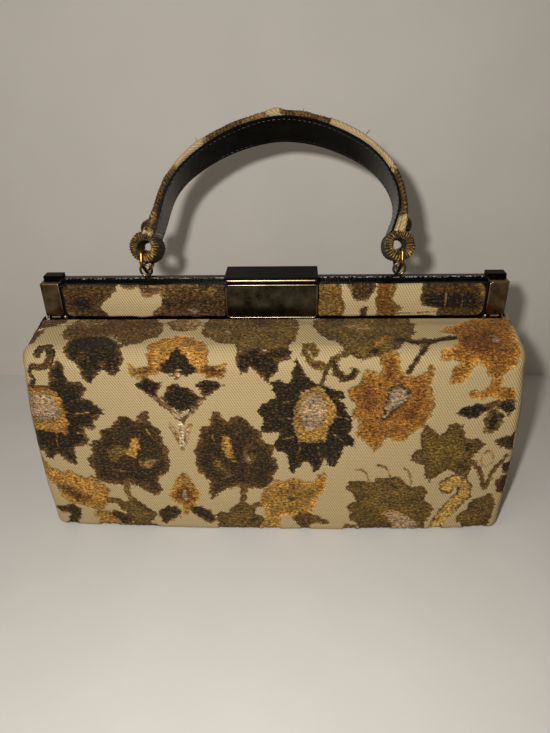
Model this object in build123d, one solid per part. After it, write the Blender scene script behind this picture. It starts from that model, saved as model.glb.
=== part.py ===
from build123d import *
import os
from math import cos, radians, sin

# Carpet bag with a hinged frame, in millimetres.
# Origin: centre of the bag's base on the floor. X right, Y backwards, Z up.
# The front half of the frame swings forward on pins at its two ends, the latch lid lifts
# on its own pin at the back, and the handle swings on two eyelets.

# Body of the bag, in tapestry
base_length = 304.0          # left to right, at the floor
end_slope = 6.5              # of each end, from the floor inwards to the frame
body_depth = 96.0            # front to back
fabric_thickness = 3.0       # tapestry with its stiff backing
shoulder_drop = 5.5          # fall of the top from the frame out to the shoulder's edge
mouth_drop = 1.3             # of the fabric's mouth below the frame
shoulder_radius = 13.0       # rounding from the top into the front
base_radius = 9.0            # rounding from the front into the base
end_radius = 8.0             # rounding from the front into the ends
fold_depth = 24.0            # strip of the front shoulder that folds as the frame opens
gusset_notch_depth = 9.5     # depth of the notch in each end, below the hinge line
mouth_ledge = 1.0            # of the rear fabric past the facing, into the mouth
fold_clearance = 0.8         # from the folding strip to the hinge lugs

# Linings
lining_thickness = 0.8
lining_clearance = 0.3       # between the tapestry and the lining
board_thickness = 2.5        # stiff board in the base
board_margin = 1.5           # from the board's edge to where the base starts to round

# Frame
frame_end_inset = 5.0        # from the base's end to the frame's end
frame_bottom = 144.3         # height of the lower edge of both halves
half_depth = 7.4             # depth of one half, from the seam
seam_half = 0.2              # half of the gap between the two halves
front_cap_top = 166.5
rear_cap_top = 168.9
cap_width = 12.0
cap_wall = 0.9
cap_corner = 2.6             # rounding of the cap's lower corners, seen from the front
cap_edge = 0.5               # rounding of the cap's outer edges
fit = 0.1                    # clearance between pieces that seat in each other
front_leather_top = 165.0
rear_leather_top = 167.0
leather_thickness = 1.0
facing_thickness = 1.2       # stiff leather facing below the rail
rail_height = 7.5            # height of the steel channel
rail_wall = 0.8
rail_edge = 1.4              # rounding of the leather along the top edges

# Padded tapestry panels on the frame's faces
pad_thickness = 3.3
pad_end_gap = 1.5            # between the pad's outer end and the cap
pad_top = 165.2
pad_bottom = 143.4
pad_corner = 5.0
pad_crown = 1.4
pad_gap = 0.6                # between the pad and the clasp

# End hinges
hinge_drop = 3.8             # of the hinge line below the frame's lower edge
lug_radius = 3.2
lug_thickness = 1.6
rear_lug_inset = 7.4         # from the cap's outer end to the outer face of the rear lug
hinge_pin_radius = 1.0
hinge_head_radius = 1.9
hinge_head_height = 1.1
hinge_head_round = 0.66      # rounding of the head's rim
hinge_shaft_inset = 0.1      # of the shaft's ends in the heads
front_lug_rise = 2.2         # of the lug above the frame's lower edge, inside the cap
rear_lug_rise = 8.0
running = 0.05               # radial clearance of a pin in its hole
side_play = 0.3              # between faces that turn past each other

# Clasp
clasp_width = 58.2
clasp_bottom = 143.2
clasp_top = 166.3
clasp_depth = 3.4
clasp_wall = 0.9
clasp_corner = 3.0
clasp_edge = 0.7
keeper_width = 16.0
keeper_thickness = 1.6
keeper_top = 168.0
keeper_seam_gap = 1.0        # from the keeper to the back of the front half

# Latch lid, hinged behind the clasp
lid_front_overhang = 1.1     # of the lid past the clasp's front
lid_back = 9.8
lid_top = 171.2
lid_height = 2.5
lid_wall = 0.8
lid_edge = 0.5
latch_pin_radius = 0.7
latch_knuckle_radius = 1.3
latch_axis_y = 7.0
latch_knuckle_gap = 0.3      # from the knuckle's top to the lid's underside
lid_knuckle_width = 24.0
bracket_knuckle_width = 10.0
bracket_plate = 0.6
bracket_front = 1.6          # the bracket's front edge, from the seam

# Eyelets on the rear half
eyelet_loop_offset = 1.5     # from the loop outwards to its eyelet
eyelet_radius = 3.7          # middle of the wire
eyelet_wire = 0.8            # radius of the wire
eyelet_sink = 0.1            # how far the ring sits in the leather
eyelet_shank_radius = 0.9
eyelet_shank_length = 3.4
eyelet_washer_height = 0.6

# Handle. Its arch is drawn flat, as (x, h), then leans back along a gentle curve.
handle_lean_low = 22.0       # lean at the eyelets, in degrees from upright
handle_lean_high = 48.7      # lean at the top of the arch
handle_rise = 99.0           # along the lean, from the eyelets to the top
strap_width = 26.5
strap_thickness = 4.3        # tapestry over its core, along the arch
strap_end_thickness = 6.6    # where the end is turned back into the strap
lining_strap_thickness = 1.2
lining_strap_margin = 1.4    # narrower than the strap, each side
strap_layer_gap = 0.2
loop_radius = 8.6
loop_wall = 4.6
loop_height = 14.0           # of the loop's centre above the eyelet's centre
loop_half_spacing = 79.0
strap_corner = 1.6
doubled_low = 26.6           # height where the doubled end of the strap starts to thin out
doubled_high = 40.0          # height where it has thinned out
arch_middle_height = 40.0    # a height under the arch, to tell its outer side
handle_rivet_radius = 4.2
handle_rivet_dome = 2.6
handle_rivet_skin = 0.15

# Links from the loops to the eyelets
link_wire = 1.2              # radius of the wire
link_side_gap = 0.4          # between the link and the strap's edge
link_foot_drop = 1.55        # of the foot below the eyelet's centre
link_knee_height = 3.4       # of the knee above the eyelet's centre
link_corner = 2.4
link_seat = 0.3              # between the link's bar and the loop

# Worked out from the sizes above
top_length = base_length - 2 * end_slope
half_width = base_length / 2 - frame_end_inset
pad_outer_end = half_width - cap_width - pad_end_gap
hinge_z = frame_bottom - hinge_drop
front_face_y = half_depth - cap_wall - fit        # outer face of the leather, from the seam's middle
pad_face_y = front_face_y + pad_thickness
cavity_back = front_face_y - leather_thickness
fold_front_y = -(half_depth + fold_depth)
mouth_back_y = front_face_y - facing_thickness - mouth_ledge
mouth_z = frame_bottom - mouth_drop
eyelet_half_spacing = loop_half_spacing + eyelet_loop_offset
cavity_floor = fabric_thickness + board_thickness
notch_floor = hinge_z - gusset_notch_depth
lean_per_mm = (handle_lean_high - handle_lean_low) / (handle_rise - loop_height)


# The bag's outer form, drawn smaller by an inset
def side_profile(inset):
    """Return the side view of the body, in Y and Z, moved inwards by inset."""
    edge_y = body_depth / 2
    shoulder_z = mouth_z - shoulder_drop
    outline = Polyline(
        (-edge_y, 0),
        (edge_y, 0),
        (edge_y, shoulder_z),
        (half_depth, mouth_z),
        (-half_depth, mouth_z),
        (-edge_y, shoulder_z),
        close=True,
    )
    face = make_face(outline)
    face = fillet([v for v in face.vertices() if v.Y < 1], base_radius)
    shoulders = [v for v in face.vertices() if abs(v.X) > edge_y - 1 and v.Y > shoulder_z - 1]
    face = fillet(shoulders, shoulder_radius)
    face = (Plane.YZ * face).face()
    if inset:
        face = offset(face, amount=-inset, kind=Kind.INTERSECTION).face()
    return face


def body_form(inset):
    """Return the body as one closed block, its walls moved inwards by inset."""
    long_block = extrude(side_profile(inset), amount=base_length / 2 + 1, both=True)
    with BuildSketch(Plane.XZ) as ends:
        with BuildLine():
            slope = end_slope / frame_bottom
            low = base_length / 2 - inset
            high = low - slope * (frame_bottom + 10)
            Polyline((-low, 0), (low, 0), (high, frame_bottom + 10), (-high, frame_bottom + 10), close=True)
        make_face()
    end_block = extrude(ends.sketch.face(), amount=body_depth, both=True)
    form = long_block & end_block
    side_faces = form.faces().sort_by(Axis.X)
    rims = side_faces[0].edges() + side_faces[-1].edges()
    return fillet(rims, end_radius - inset)


def boxed(low, high):
    """Return a box between two corners."""
    size = [high[i] - low[i] for i in range(3)]
    return Pos(*low) * Box(*size, align=(Align.MIN, Align.MIN, Align.MIN))


far = base_length
outer_form = body_form(0)
inner_form = body_form(fabric_thickness)
tapestry_shell = outer_form - inner_form
mouth_box = boxed((-far, fold_front_y, notch_floor), (far, mouth_back_y, far))
fold_box = boxed((-far, fold_front_y, notch_floor), (far, -lug_radius - fold_clearance, far))
tapestry_body = tapestry_shell - mouth_box
seam_reach = top_length / 2 - end_radius
tapestry_body = tapestry_body + boxed(
    (-seam_reach, mouth_back_y, mouth_z - fabric_thickness / 2), (seam_reach, front_face_y, frame_bottom)
)
front_shoulder = tapestry_shell & fold_box

# Board in the base, and the lining that stands on it
board_inset = base_radius + board_margin
board_block = Pos(0, 0, fabric_thickness + board_thickness / 2) * Box(
    base_length - 2 * board_inset, body_depth - 2 * board_inset, board_thickness
)
base_board = fillet(board_block.edges().filter_by(Axis.Z), end_radius)

lining_inset = fabric_thickness + lining_clearance
lining_outer = body_form(lining_inset) - boxed((-far, -far, -1), (far, far, cavity_floor))
lining_inner = body_form(lining_inset + lining_thickness)
lining_inner = lining_inner - boxed((-far, -far, -1), (far, far, cavity_floor + lining_thickness))
lining = lining_outer - lining_inner - mouth_box


# Frame halves: side is -1 for the front half and +1 for the rear half
def across(side, near, away):
    """Return two Y values in rising order, for distances from the seam's middle."""
    return (side * away, side * near) if side < 0 else (near, away)


def rail(side, leather_top):
    """Return the steel channel that stiffens one half, open downwards."""
    top = leather_top - leather_thickness
    reach = half_width - cap_wall - fit
    y0, y1 = across(side, seam_half + leather_thickness, cavity_back)
    channel = boxed((-reach, y0, top - rail_height), (reach, y1, top))
    groove = boxed((-reach, y0 + rail_wall, top - rail_height), (reach, y1 - rail_wall, top - rail_wall))
    return channel - groove


def rail_cover(side, leather_top):
    """Return the leather folded over one rail."""
    low = leather_top - leather_thickness - rail_height
    reach = half_width - cap_wall - fit
    y0, y1 = across(side, seam_half, front_face_y)
    cover = boxed((-reach, y0, low), (reach, y1, leather_top))
    long_edges = cover.edges().filter_by(Axis.X).group_by(Axis.Z)[-1]
    outer_edge = long_edges.sort_by(lambda e: side * e.center().Y)[-1]
    cover = fillet([outer_edge], rail_edge)
    i0, i1 = across(side, seam_half + leather_thickness, cavity_back)
    return cover - boxed((-reach, i0, low), (reach, i1, leather_top - leather_thickness))


def facing(side, leather_top):
    """Return the stiff leather facing that hangs below the rail's cover."""
    top = leather_top - leather_thickness - rail_height
    reach = half_width - max(cap_wall, lug_thickness) - fit
    y0, y1 = across(side, front_face_y - facing_thickness, front_face_y)
    return boxed((-reach, y0, frame_bottom), (reach, y1, top))


def cap(side, end, top, leather_top):
    """Return one end cap with its hinge lug; end is -1 for left and +1 for right."""
    y0, y1 = across(side, seam_half, half_depth)
    x0, x1 = sorted((end * (half_width - cap_width), end * half_width))
    shell = boxed((x0, y0, frame_bottom), (x1, y1, top))
    face_y = side * half_depth
    corners = shell.edges().filter_by(Axis.Y).group_by(Axis.Z)[0]
    inner_corner = corners.sort_by(lambda e: abs(e.center().X))[0]
    shell = fillet([inner_corner], cap_corner)
    outline = [e for e in shell.edges() if abs(e.center().Y - face_y) < 0.01]
    crown = [e for e in shell.edges().filter_by(Axis.Y) if abs(e.center().Z - top) < 0.01]
    shell = fillet(outline + crown, cap_edge)
    c0, c1 = across(side, seam_half + cap_wall, front_face_y + fit)
    inner_x0, inner_x1 = sorted((end * (half_width - cap_width - 1), end * (half_width - cap_wall)))
    shell = shell - boxed((inner_x0, c0, frame_bottom - 1), (inner_x1, c1, leather_top + fit))
    # The leather also passes the seam side of the cap
    s0, s1 = across(side, seam_half - 0.1, seam_half + cap_wall + 0.1)
    shell = shell - boxed((inner_x0, s0, frame_bottom - 1), (inner_x1, s1, leather_top + fit))
    return shell


def hinge_lug(side, end):
    """Return the lug that joins a cap to the hinge pin, with its hole."""
    outer = half_width if side < 0 else half_width - rear_lug_inset
    x_face = end * outer
    tongue_y = side * (seam_half + cap_wall)
    rise = front_lug_rise if side < 0 else rear_lug_rise
    with BuildSketch(Plane.YZ) as sketch:
        with Locations((0, hinge_z)):
            Circle(lug_radius)
        with BuildLine():
            Polyline(
                (side * seam_half, hinge_z),
                (side * lug_radius, hinge_z),
                (side * lug_radius, frame_bottom),
                (side * (half_depth - cap_edge), frame_bottom),
                (side * (half_depth - cap_edge), frame_bottom + rise),
                (tongue_y if side > 0 else side * seam_half, frame_bottom + rise),
                (tongue_y if side > 0 else side * seam_half, frame_bottom),
                close=True,
            )
        make_face()
        with Locations((0, hinge_z)):
            Circle(hinge_pin_radius + running, mode=Mode.SUBTRACT)
    plate = extrude(sketch.sketch.face(), amount=lug_thickness)
    shift = x_face - lug_thickness if end > 0 else x_face
    return Pos(shift, 0, 0) * plate


def hinge_pin(end):
    """Return one hinge pin, headed on both sides."""
    inner = half_width - rear_lug_inset - lug_thickness - side_play
    outer = half_width + side_play
    length = outer - inner
    shaft = Cylinder(hinge_pin_radius, length + 2 * (hinge_head_height - hinge_shaft_inset))
    head = Cylinder(hinge_head_radius, hinge_head_height)
    head_edge = fillet(head.edges().group_by(Axis.Z)[-1], hinge_head_round)
    pin = shaft + Pos(0, 0, length / 2 + hinge_head_height / 2) * head_edge
    pin = pin + Pos(0, 0, -length / 2 - hinge_head_height / 2) * Rot(180, 0, 0) * head_edge
    return Pos(end * (inner + outer) / 2, 0, hinge_z) * Rot(0, end * 90, 0) * pin


def pad(side, x0, x1, rounded):
    """Return one crowned tapestry panel from x0 to x1; rounded lists its rounded ends as -1 and 1."""
    y0, y1 = across(side, front_face_y, pad_face_y)
    block = boxed((x0, y0, pad_bottom), (x1, y1, pad_top))
    ends = {-1: x0, 1: x1}
    upright = block.edges().filter_by(Axis.Y)
    corners = [e for e in upright for end in rounded if abs(e.center().X - ends[end]) < fit]
    block = fillet(corners, pad_corner)
    rim = [e for e in block.edges() if abs(e.center().Y - side * pad_face_y) < fit]
    return fillet(rim, pad_crown)


# Build the two halves
front_rail = rail(-1, front_leather_top)
rear_rail = rail(1, rear_leather_top)
front_cover = rail_cover(-1, front_leather_top)
rear_cover = rail_cover(1, rear_leather_top)
front_facing = facing(-1, front_leather_top)
rear_facing = facing(1, rear_leather_top)

parts = {}
for end, hand in ((-1, "left"), (1, "right")):
    parts["front_cap_" + hand] = cap(-1, end, front_cap_top, front_leather_top) + hinge_lug(-1, end)
    parts["rear_cap_" + hand] = cap(1, end, rear_cap_top, rear_leather_top) + hinge_lug(1, end)
    parts["hinge_pin_" + hand] = hinge_pin(end)
    x0, x1 = sorted((end * (clasp_width / 2 + pad_gap), end * pad_outer_end))
    parts["front_pad_" + hand] = pad(-1, x0, x1, [end])
parts["rear_pad"] = pad(1, -pad_outer_end, pad_outer_end, [-1, 1])

# The rear lugs stand inside the frame, so the rear facing is slotted for them
for end in (-1, 1):
    lug_x = half_width - rear_lug_inset
    x0, x1 = sorted((end * (lug_x - lug_thickness - fit), end * (lug_x + fit)))
    slot = boxed((x0, 0, frame_bottom - 1), (x1, half_depth, frame_bottom + rear_lug_rise + fit))
    rear_facing = rear_facing - slot


# Clasp on the front half
def clasp_shell():
    """Return the pressed front plate, hollow at the back."""
    y_back = -front_face_y
    y_front = y_back - clasp_depth
    block = boxed((-clasp_width / 2, y_front, clasp_bottom), (clasp_width / 2, y_back, clasp_top))
    block = fillet(block.edges().filter_by(Axis.Y).group_by(Axis.Z)[0], clasp_corner)
    rim = [e for e in block.edges() if abs(e.center().Y - y_front) < 0.01]
    block = fillet(rim, clasp_edge)
    hollow = boxed(
        (-clasp_width / 2 + clasp_wall, y_front + clasp_wall, clasp_bottom + clasp_wall),
        (clasp_width / 2 - clasp_wall, y_back + 1, clasp_top - clasp_wall),
    )
    hollow = fillet(hollow.edges().filter_by(Axis.Y).group_by(Axis.Z)[0], clasp_corner - clasp_wall)
    return block - hollow


clasp_plate = clasp_shell()
keeper_back = -(seam_half + keeper_seam_gap)
clasp_keeper = boxed(
    (-keeper_width / 2, keeper_back - keeper_thickness, front_leather_top),
    (keeper_width / 2, keeper_back, keeper_top),
)
clasp_keeper = clasp_keeper + boxed(
    (-keeper_width / 2, keeper_back - 3 * keeper_thickness, front_leather_top),
    (keeper_width / 2, keeper_back, front_leather_top + bracket_plate),
)
keeper_tip = clasp_keeper.edges().filter_by(Axis.Y).group_by(Axis.Z)[-1]
clasp_keeper = fillet(keeper_tip, keeper_thickness / 2)

# Latch lid with its hinge
lid_under = lid_top - lid_wall
latch_axis_z = lid_under - latch_knuckle_gap - latch_knuckle_radius
lid_front = -(front_face_y + clasp_depth + lid_front_overhang)
lid_block = boxed((-clasp_width / 2, lid_front, lid_top - lid_height), (clasp_width / 2, lid_back, lid_top))
lid_block = fillet(lid_block.edges().filter_by(Axis.Z), lid_edge)
lid_block = fillet(lid_block.faces().sort_by(Axis.Z)[-1].edges(), lid_edge)
latch_lid = lid_block - boxed(
    (-clasp_width / 2 + lid_wall, lid_front + lid_wall, lid_top - lid_height - 1),
    (clasp_width / 2 - lid_wall, lid_back - lid_wall, lid_under),
)


def knuckle(width, low_z, high_z, web_back):
    """Return a hinge knuckle round the latch's axis, its web from low_z to high_z and back to web_back."""
    barrel = Pos(0, latch_axis_y, latch_axis_z) * Rot(0, 90, 0) * Cylinder(latch_knuckle_radius, width)
    web = boxed(
        (-width / 2, latch_axis_y - latch_knuckle_radius, low_z),
        (width / 2, web_back, high_z),
    )
    return barrel + web


latch_axis = Pos(0, latch_axis_y, latch_axis_z) * Rot(0, 90, 0)
pin_hole = latch_axis * Cylinder(latch_pin_radius + running, clasp_width)
lid_web_back = latch_axis_y + latch_knuckle_radius
latch_lid = latch_lid + knuckle(lid_knuckle_width, latch_axis_z, lid_under, lid_web_back) - pin_hole
bracket_x = lid_knuckle_width / 2 + side_play + bracket_knuckle_width / 2
bracket_reach = bracket_x + bracket_knuckle_width / 2
latch_bracket = boxed(
    (-bracket_reach, seam_half + bracket_front, rear_leather_top),
    (bracket_reach, latch_axis_y - latch_knuckle_radius - side_play, rear_leather_top + bracket_plate),
)
for end in (-1, 1):
    arm = boxed(
        (-bracket_knuckle_width / 2, seam_half + bracket_front, rear_leather_top),
        (bracket_knuckle_width / 2, latch_axis_y, rear_leather_top + bracket_plate),
    )
    latch_bracket = latch_bracket + Pos(end * bracket_x, 0, 0) * (
        knuckle(bracket_knuckle_width, rear_leather_top, latch_axis_z, latch_axis_y) + arm
    )
latch_bracket = latch_bracket - pin_hole
latch_pin = latch_axis * Cylinder(latch_pin_radius, 2 * bracket_reach)

# Eyelets, each a wire ring on a shank through the leather and the rail
eyelet_y = (seam_half + leather_thickness + cavity_back) / 2
eyelet_z = rear_leather_top + eyelet_radius + eyelet_wire - eyelet_sink
shank_low = rear_leather_top - eyelet_shank_length


def eyelet():
    """Return one eyelet at the middle of the frame."""
    ring = Pos(0, eyelet_y, eyelet_z) * Rot(90, 0, 0) * Torus(eyelet_radius, eyelet_wire)
    shank_top = rear_leather_top + eyelet_wire
    shank = Cylinder(eyelet_shank_radius, shank_top - shank_low)
    shank = Pos(0, eyelet_y, (shank_low + shank_top) / 2) * shank
    under = rear_leather_top - leather_thickness - rail_wall
    washer_radius = (cavity_back - seam_half - leather_thickness) / 2 - rail_wall - fit
    washer = Cylinder(washer_radius, eyelet_washer_height)
    washer = Pos(0, eyelet_y, under - eyelet_washer_height / 2) * washer
    return ring + shank + washer


for end, hand in ((-1, "left"), (1, "right")):
    place = Pos(end * eyelet_half_spacing, 0, 0)
    parts["eyelet_" + hand] = place * eyelet()
    drill = place * Pos(0, eyelet_y, rear_leather_top) * Cylinder(eyelet_shank_radius + running, rail_height)
    seat = place * Pos(0, eyelet_y, eyelet_z) * Rot(90, 0, 0) * Torus(eyelet_radius, eyelet_wire + running)
    rear_cover = rear_cover - drill - seat
    rear_rail = rear_rail - drill


# Handle
def lean(height):
    """Return the handle's lean in radians at a height along it: straight up to the loops, then curved."""
    return radians(handle_lean_low + lean_per_mm * max(0, height - loop_height))


def leaned(x, height, across_strap):
    """Return the point of the flat arch (x, height) on the leaning curve."""
    turn = radians(lean_per_mm)
    start = radians(handle_lean_low)
    angle = lean(height)
    straight = min(height, loop_height)
    y = eyelet_y + straight * sin(start) + (cos(start) - cos(angle)) / turn
    z = eyelet_z + straight * cos(start) + (sin(angle) - sin(start)) / turn
    return Vector(x, y + across_strap * cos(angle), z - across_strap * sin(angle))


# Middle line of the strap, from the left loop to the right one, with the sway of the real one:
# the side, how far in from the loop, and the height
arch_sides = [
    (-1, 0.8, loop_height + 6.2),
    (-1, 3.0, 26.0),
    (-1, 7.7, 36.0),
    (-1, 13.0, 50.0),
    (-1, 24.0, 65.5),
    (-1, 41.5, 79.5),
    (-1, 65.0, 90.8),
    (1, 73.0, 94.8),
    (1, 50.5, 91.4),
    (1, 27.0, 80.5),
    (1, 10.0, 66.5),
    (1, 0.2, 50.0),
    (1, -2.6, 36.0),
    (1, -2.0, 27.0),
    (1, 0.2, loop_height + 6.2),
]
arch = [(side * (loop_half_spacing - inset), height) for side, inset, height in arch_sides]


def strap_plane(index):
    """Return the section plane of the strap: X along its thickness outwards, Y across it."""
    here = leaned(*arch[index], 0)
    before = leaned(*arch[max(index - 1, 0)], 0)
    after = leaned(*arch[min(index + 1, len(arch) - 1)], 0)
    along = (after - before).normalized()
    angle = lean(arch[index][1])
    wide = Vector(0, cos(angle), -sin(angle))
    outward = wide.cross(along).normalized() * -1
    if outward.dot(Vector(arch[index][0], 0, arch_middle_height)) < 0:
        outward = outward * -1
    return Plane(origin=here, x_dir=outward, z_dir=outward.cross(wide))


def end_share(index):
    """Return 1 at the strap's ends, where it is doubled, and 0 along the arch."""
    height = arch[index][1]
    return min(1.0, max(0.0, (doubled_high - height) / (doubled_high - doubled_low)))


def strap_layer(width, inner, outer, corner):
    """Return a layer of the strap between two functions of the section's index."""
    sections = []
    for index in range(len(arch)):
        low, high = inner(index), outer(index)
        plane = strap_plane(index)
        middle = plane * Pos((low + high) / 2, 0, 0)
        shape = RectangleRounded(high - low, width, corner) if corner else Rectangle(high - low, width)
        sections.append((middle * shape).face())
    return loft(sections)


def strap_low(index):
    """Return the inner side of the tapestry strap, from its middle line."""
    extra = strap_end_thickness - strap_thickness
    return -strap_thickness / 2 - extra * end_share(index)


def strap_high(index):
    """Return the outer side of the tapestry strap, from its middle line."""
    return strap_thickness / 2


def lining_high(index):
    """Return the outer side of the leather lining."""
    return strap_low(index) - strap_layer_gap


def lining_low(index):
    """Return the inner side of the leather lining."""
    return lining_high(index) - lining_strap_thickness


handle_strap = strap_layer(strap_width, strap_low, strap_high, strap_corner)


def loop_place(end):
    """Return the location of a loop's centre, its axis across the strap."""
    angle = lean(loop_height)
    wide = Vector(0, cos(angle), -sin(angle))
    return Plane(origin=leaned(end * loop_half_spacing, loop_height, 0), x_dir=(1, 0, 0), z_dir=wide)


loop_bore_radius = loop_radius - loop_wall
for end in (-1, 1):
    handle_strap = handle_strap + loop_place(end) * Cylinder(loop_radius, strap_width)
for end in (-1, 1):
    handle_strap = handle_strap - loop_place(end) * Cylinder(loop_bore_radius, strap_width + 2)

handle_lining = strap_layer(strap_width - 2 * lining_strap_margin, lining_low, lining_high, 0)
for end in (-1, 1):
    handle_lining = handle_lining - loop_place(end) * Cylinder(loop_radius + strap_layer_gap, strap_width + 4)

# Domed rivets through the doubled ends of the strap
for end, hand, index in ((-1, "left", 1), (1, "right", len(arch) - 2)):
    plane = strap_plane(index)
    seat = plane * Pos(strap_thickness / 2 + handle_rivet_skin, 0, 0) * Rot(0, 90, 0)
    dome_radius = (handle_rivet_radius**2 + handle_rivet_dome**2) / (2 * handle_rivet_dome)
    dome = Pos(0, 0, handle_rivet_dome - dome_radius) * Sphere(dome_radius)
    dome = dome & Pos(0, 0, handle_rivet_dome) * Cylinder(handle_rivet_radius + 1, 2 * handle_rivet_dome)
    parts["handle_rivet_" + hand] = seat * dome


# Wire links, each a closed triangle through a loop and its eyelet
def link(end):
    """Return one link in the plane across the strap, at its eyelet."""
    angle = lean(0)
    wide = Vector(0, cos(angle), -sin(angle))
    tall = Vector(0, sin(angle), cos(angle))
    centre = Vector(end * (eyelet_half_spacing + loop_half_spacing) / 2, eyelet_y, eyelet_z)

    def spot(across_link, height):
        return centre + wide * across_link + tall * height

    side = strap_width / 2 + link_side_gap + link_wire
    bar = loop_height - (loop_bore_radius - link_wire - link_seat)
    points = [
        spot(-side, bar),
        spot(-side, link_knee_height),
        spot(0, -link_foot_drop),
        spot(side, link_knee_height),
        spot(side, bar),
    ]
    path = FilletPolyline(*points, radius=link_corner, close=True)
    start = path.edges().sort_by(Axis.Z)[-1]
    profile = Plane(origin=start @ 0.5, z_dir=start % 0.5) * Circle(link_wire)
    return sweep(profile, path=path)


for end, hand in ((-1, "left"), (1, "right")):
    parts["link_" + hand] = link(end)

parts["tapestry_body"] = tapestry_body
parts["front_shoulder"] = front_shoulder
parts["base_board"] = base_board
parts["lining"] = lining
parts["front_rail"] = front_rail
parts["rear_rail"] = rear_rail
parts["front_cover"] = front_cover
parts["rear_cover"] = rear_cover
parts["front_facing"] = front_facing
parts["rear_facing"] = rear_facing
parts["clasp_plate"] = clasp_plate
parts["clasp_keeper"] = clasp_keeper
parts["latch_lid"] = latch_lid
parts["latch_bracket"] = latch_bracket
parts["latch_pin"] = latch_pin
parts["handle_strap"] = handle_strap
parts["handle_lining"] = handle_lining

os.makedirs("parts", exist_ok=True)
for node, shape in parts.items():
    export_step(shape, "parts/" + node + ".step")
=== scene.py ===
"""Looks of the carpet bag: cut-velvet tapestry, leather-covered frame, clasp and arched handle.

Millimetres are used while a piece is laid out, and metres in the meshes. X runs to the right,
Y to the back and Z up, with the origin at the centre of the bag's base. On the cloth, s runs
across the bag and t runs down it from the frame's edge.
"""

from __future__ import annotations

import logging
import math
from dataclasses import dataclass, replace
from enum import Enum
from functools import partial
from typing import Callable, Sequence

import bpy
import numpy as np
from mathutils import Matrix, Vector

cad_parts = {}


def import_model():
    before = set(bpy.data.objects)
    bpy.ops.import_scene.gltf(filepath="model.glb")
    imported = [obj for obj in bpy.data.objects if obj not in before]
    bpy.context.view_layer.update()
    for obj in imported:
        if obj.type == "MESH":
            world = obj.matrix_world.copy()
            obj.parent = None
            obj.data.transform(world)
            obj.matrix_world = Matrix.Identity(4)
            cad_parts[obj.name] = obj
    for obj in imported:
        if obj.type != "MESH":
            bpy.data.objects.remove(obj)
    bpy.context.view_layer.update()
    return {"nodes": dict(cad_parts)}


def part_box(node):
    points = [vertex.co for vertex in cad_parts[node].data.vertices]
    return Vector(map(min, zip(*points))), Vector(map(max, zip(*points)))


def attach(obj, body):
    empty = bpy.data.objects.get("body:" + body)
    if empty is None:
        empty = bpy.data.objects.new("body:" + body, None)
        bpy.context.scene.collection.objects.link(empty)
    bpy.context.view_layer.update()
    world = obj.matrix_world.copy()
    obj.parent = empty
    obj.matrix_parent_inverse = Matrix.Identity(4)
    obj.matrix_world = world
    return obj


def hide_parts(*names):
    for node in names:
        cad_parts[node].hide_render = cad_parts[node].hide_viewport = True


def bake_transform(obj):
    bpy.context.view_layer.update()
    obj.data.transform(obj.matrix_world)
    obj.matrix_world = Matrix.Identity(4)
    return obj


LOG = logging.getLogger("carpet_bag")
MM = 0.001
Points = Sequence[tuple[float, float]]
Array = np.ndarray
Piece = bpy.types.Object


def linear(hex_colour: str) -> tuple[float, float, float]:
    """Turn an sRGB hex colour into linear light.

    Args:
        hex_colour: six hex digits, with or without a leading hash.

    Returns:
        Red, green and blue from 0 to 1.
    """
    digits = hex_colour.lstrip("#")
    parts = [int(digits[i : i + 2], 16) / 255 for i in (0, 2, 4)]
    return tuple(c / 12.92 if c <= 0.04045 else ((c + 0.055) / 1.055) ** 2.4 for c in parts)


def ease(x: Array, low: float, high: float) -> Array:
    """Return 0 below low, 1 above high and a smooth step between."""
    k = np.clip((x - low) / (high - low), 0, 1)
    return k * k * (3 - 2 * k)


def flattened(wave: Array, power: float) -> Array:
    """Return a sine or cosine wave with its crests made broader, for powers under one."""
    return np.sign(wave) * np.abs(wave) ** power


def cloud(a: Array, b: Array, size: float, seed: int) -> Array:
    """Return smooth noise from -1 to 1 over two coordinates.

    Args:
        a: first coordinate, in millimetres.
        b: second coordinate, in millimetres.
        size: width of one cell of the noise, in millimetres.
        seed: number of the noise.
    """
    table = np.random.default_rng(seed).uniform(-1, 1, (256, 256))
    x, y = a / size, b / size
    i, j = np.floor(x).astype(int), np.floor(y).astype(int)
    fx, fy = x - i, y - j
    fx, fy = fx * fx * (3 - 2 * fx), fy * fy * (3 - 2 * fy)
    i0, j0, i1, j1 = i & 255, j & 255, (i + 1) & 255, (j + 1) & 255
    low = table[i0, j0] * (1 - fx) + table[i1, j0] * fx
    high = table[i0, j1] * (1 - fx) + table[i1, j1] * fx
    return low * (1 - fy) + high * fy


class Yarn(Enum):
    """Colours of the pile and the flat yarns, as they look in plain light."""

    NIGHT = "22180B"
    DARK = "32240F"
    BROWN = "553A1A"
    OLIVE = "60491D"
    TAN = "866639"
    GOLD = "8A662B"
    AMBER = "A27331"
    RUST = "85561E"
    FOX = "653B14"
    MAUVE = "8F7658"
    STRAW = "A8853F"
    CREAM = "C9B286"

    @property
    def colour(self) -> Array:
        """Linear colour as an array."""
        return np.array(linear(self.value))


def trace(outline: str) -> Array:
    """Return the points of an outline that is written as pairs in cloth millimetres, one row each."""
    return np.array([pair.split(",") for pair in outline.split()], float)


def mirrored(outline: str, middle: float) -> str:
    """Return an outline mirrored left to right about a line."""
    return " ".join(f"{2 * middle - s:g},{t:g}" for s, t in trace(outline))


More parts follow.
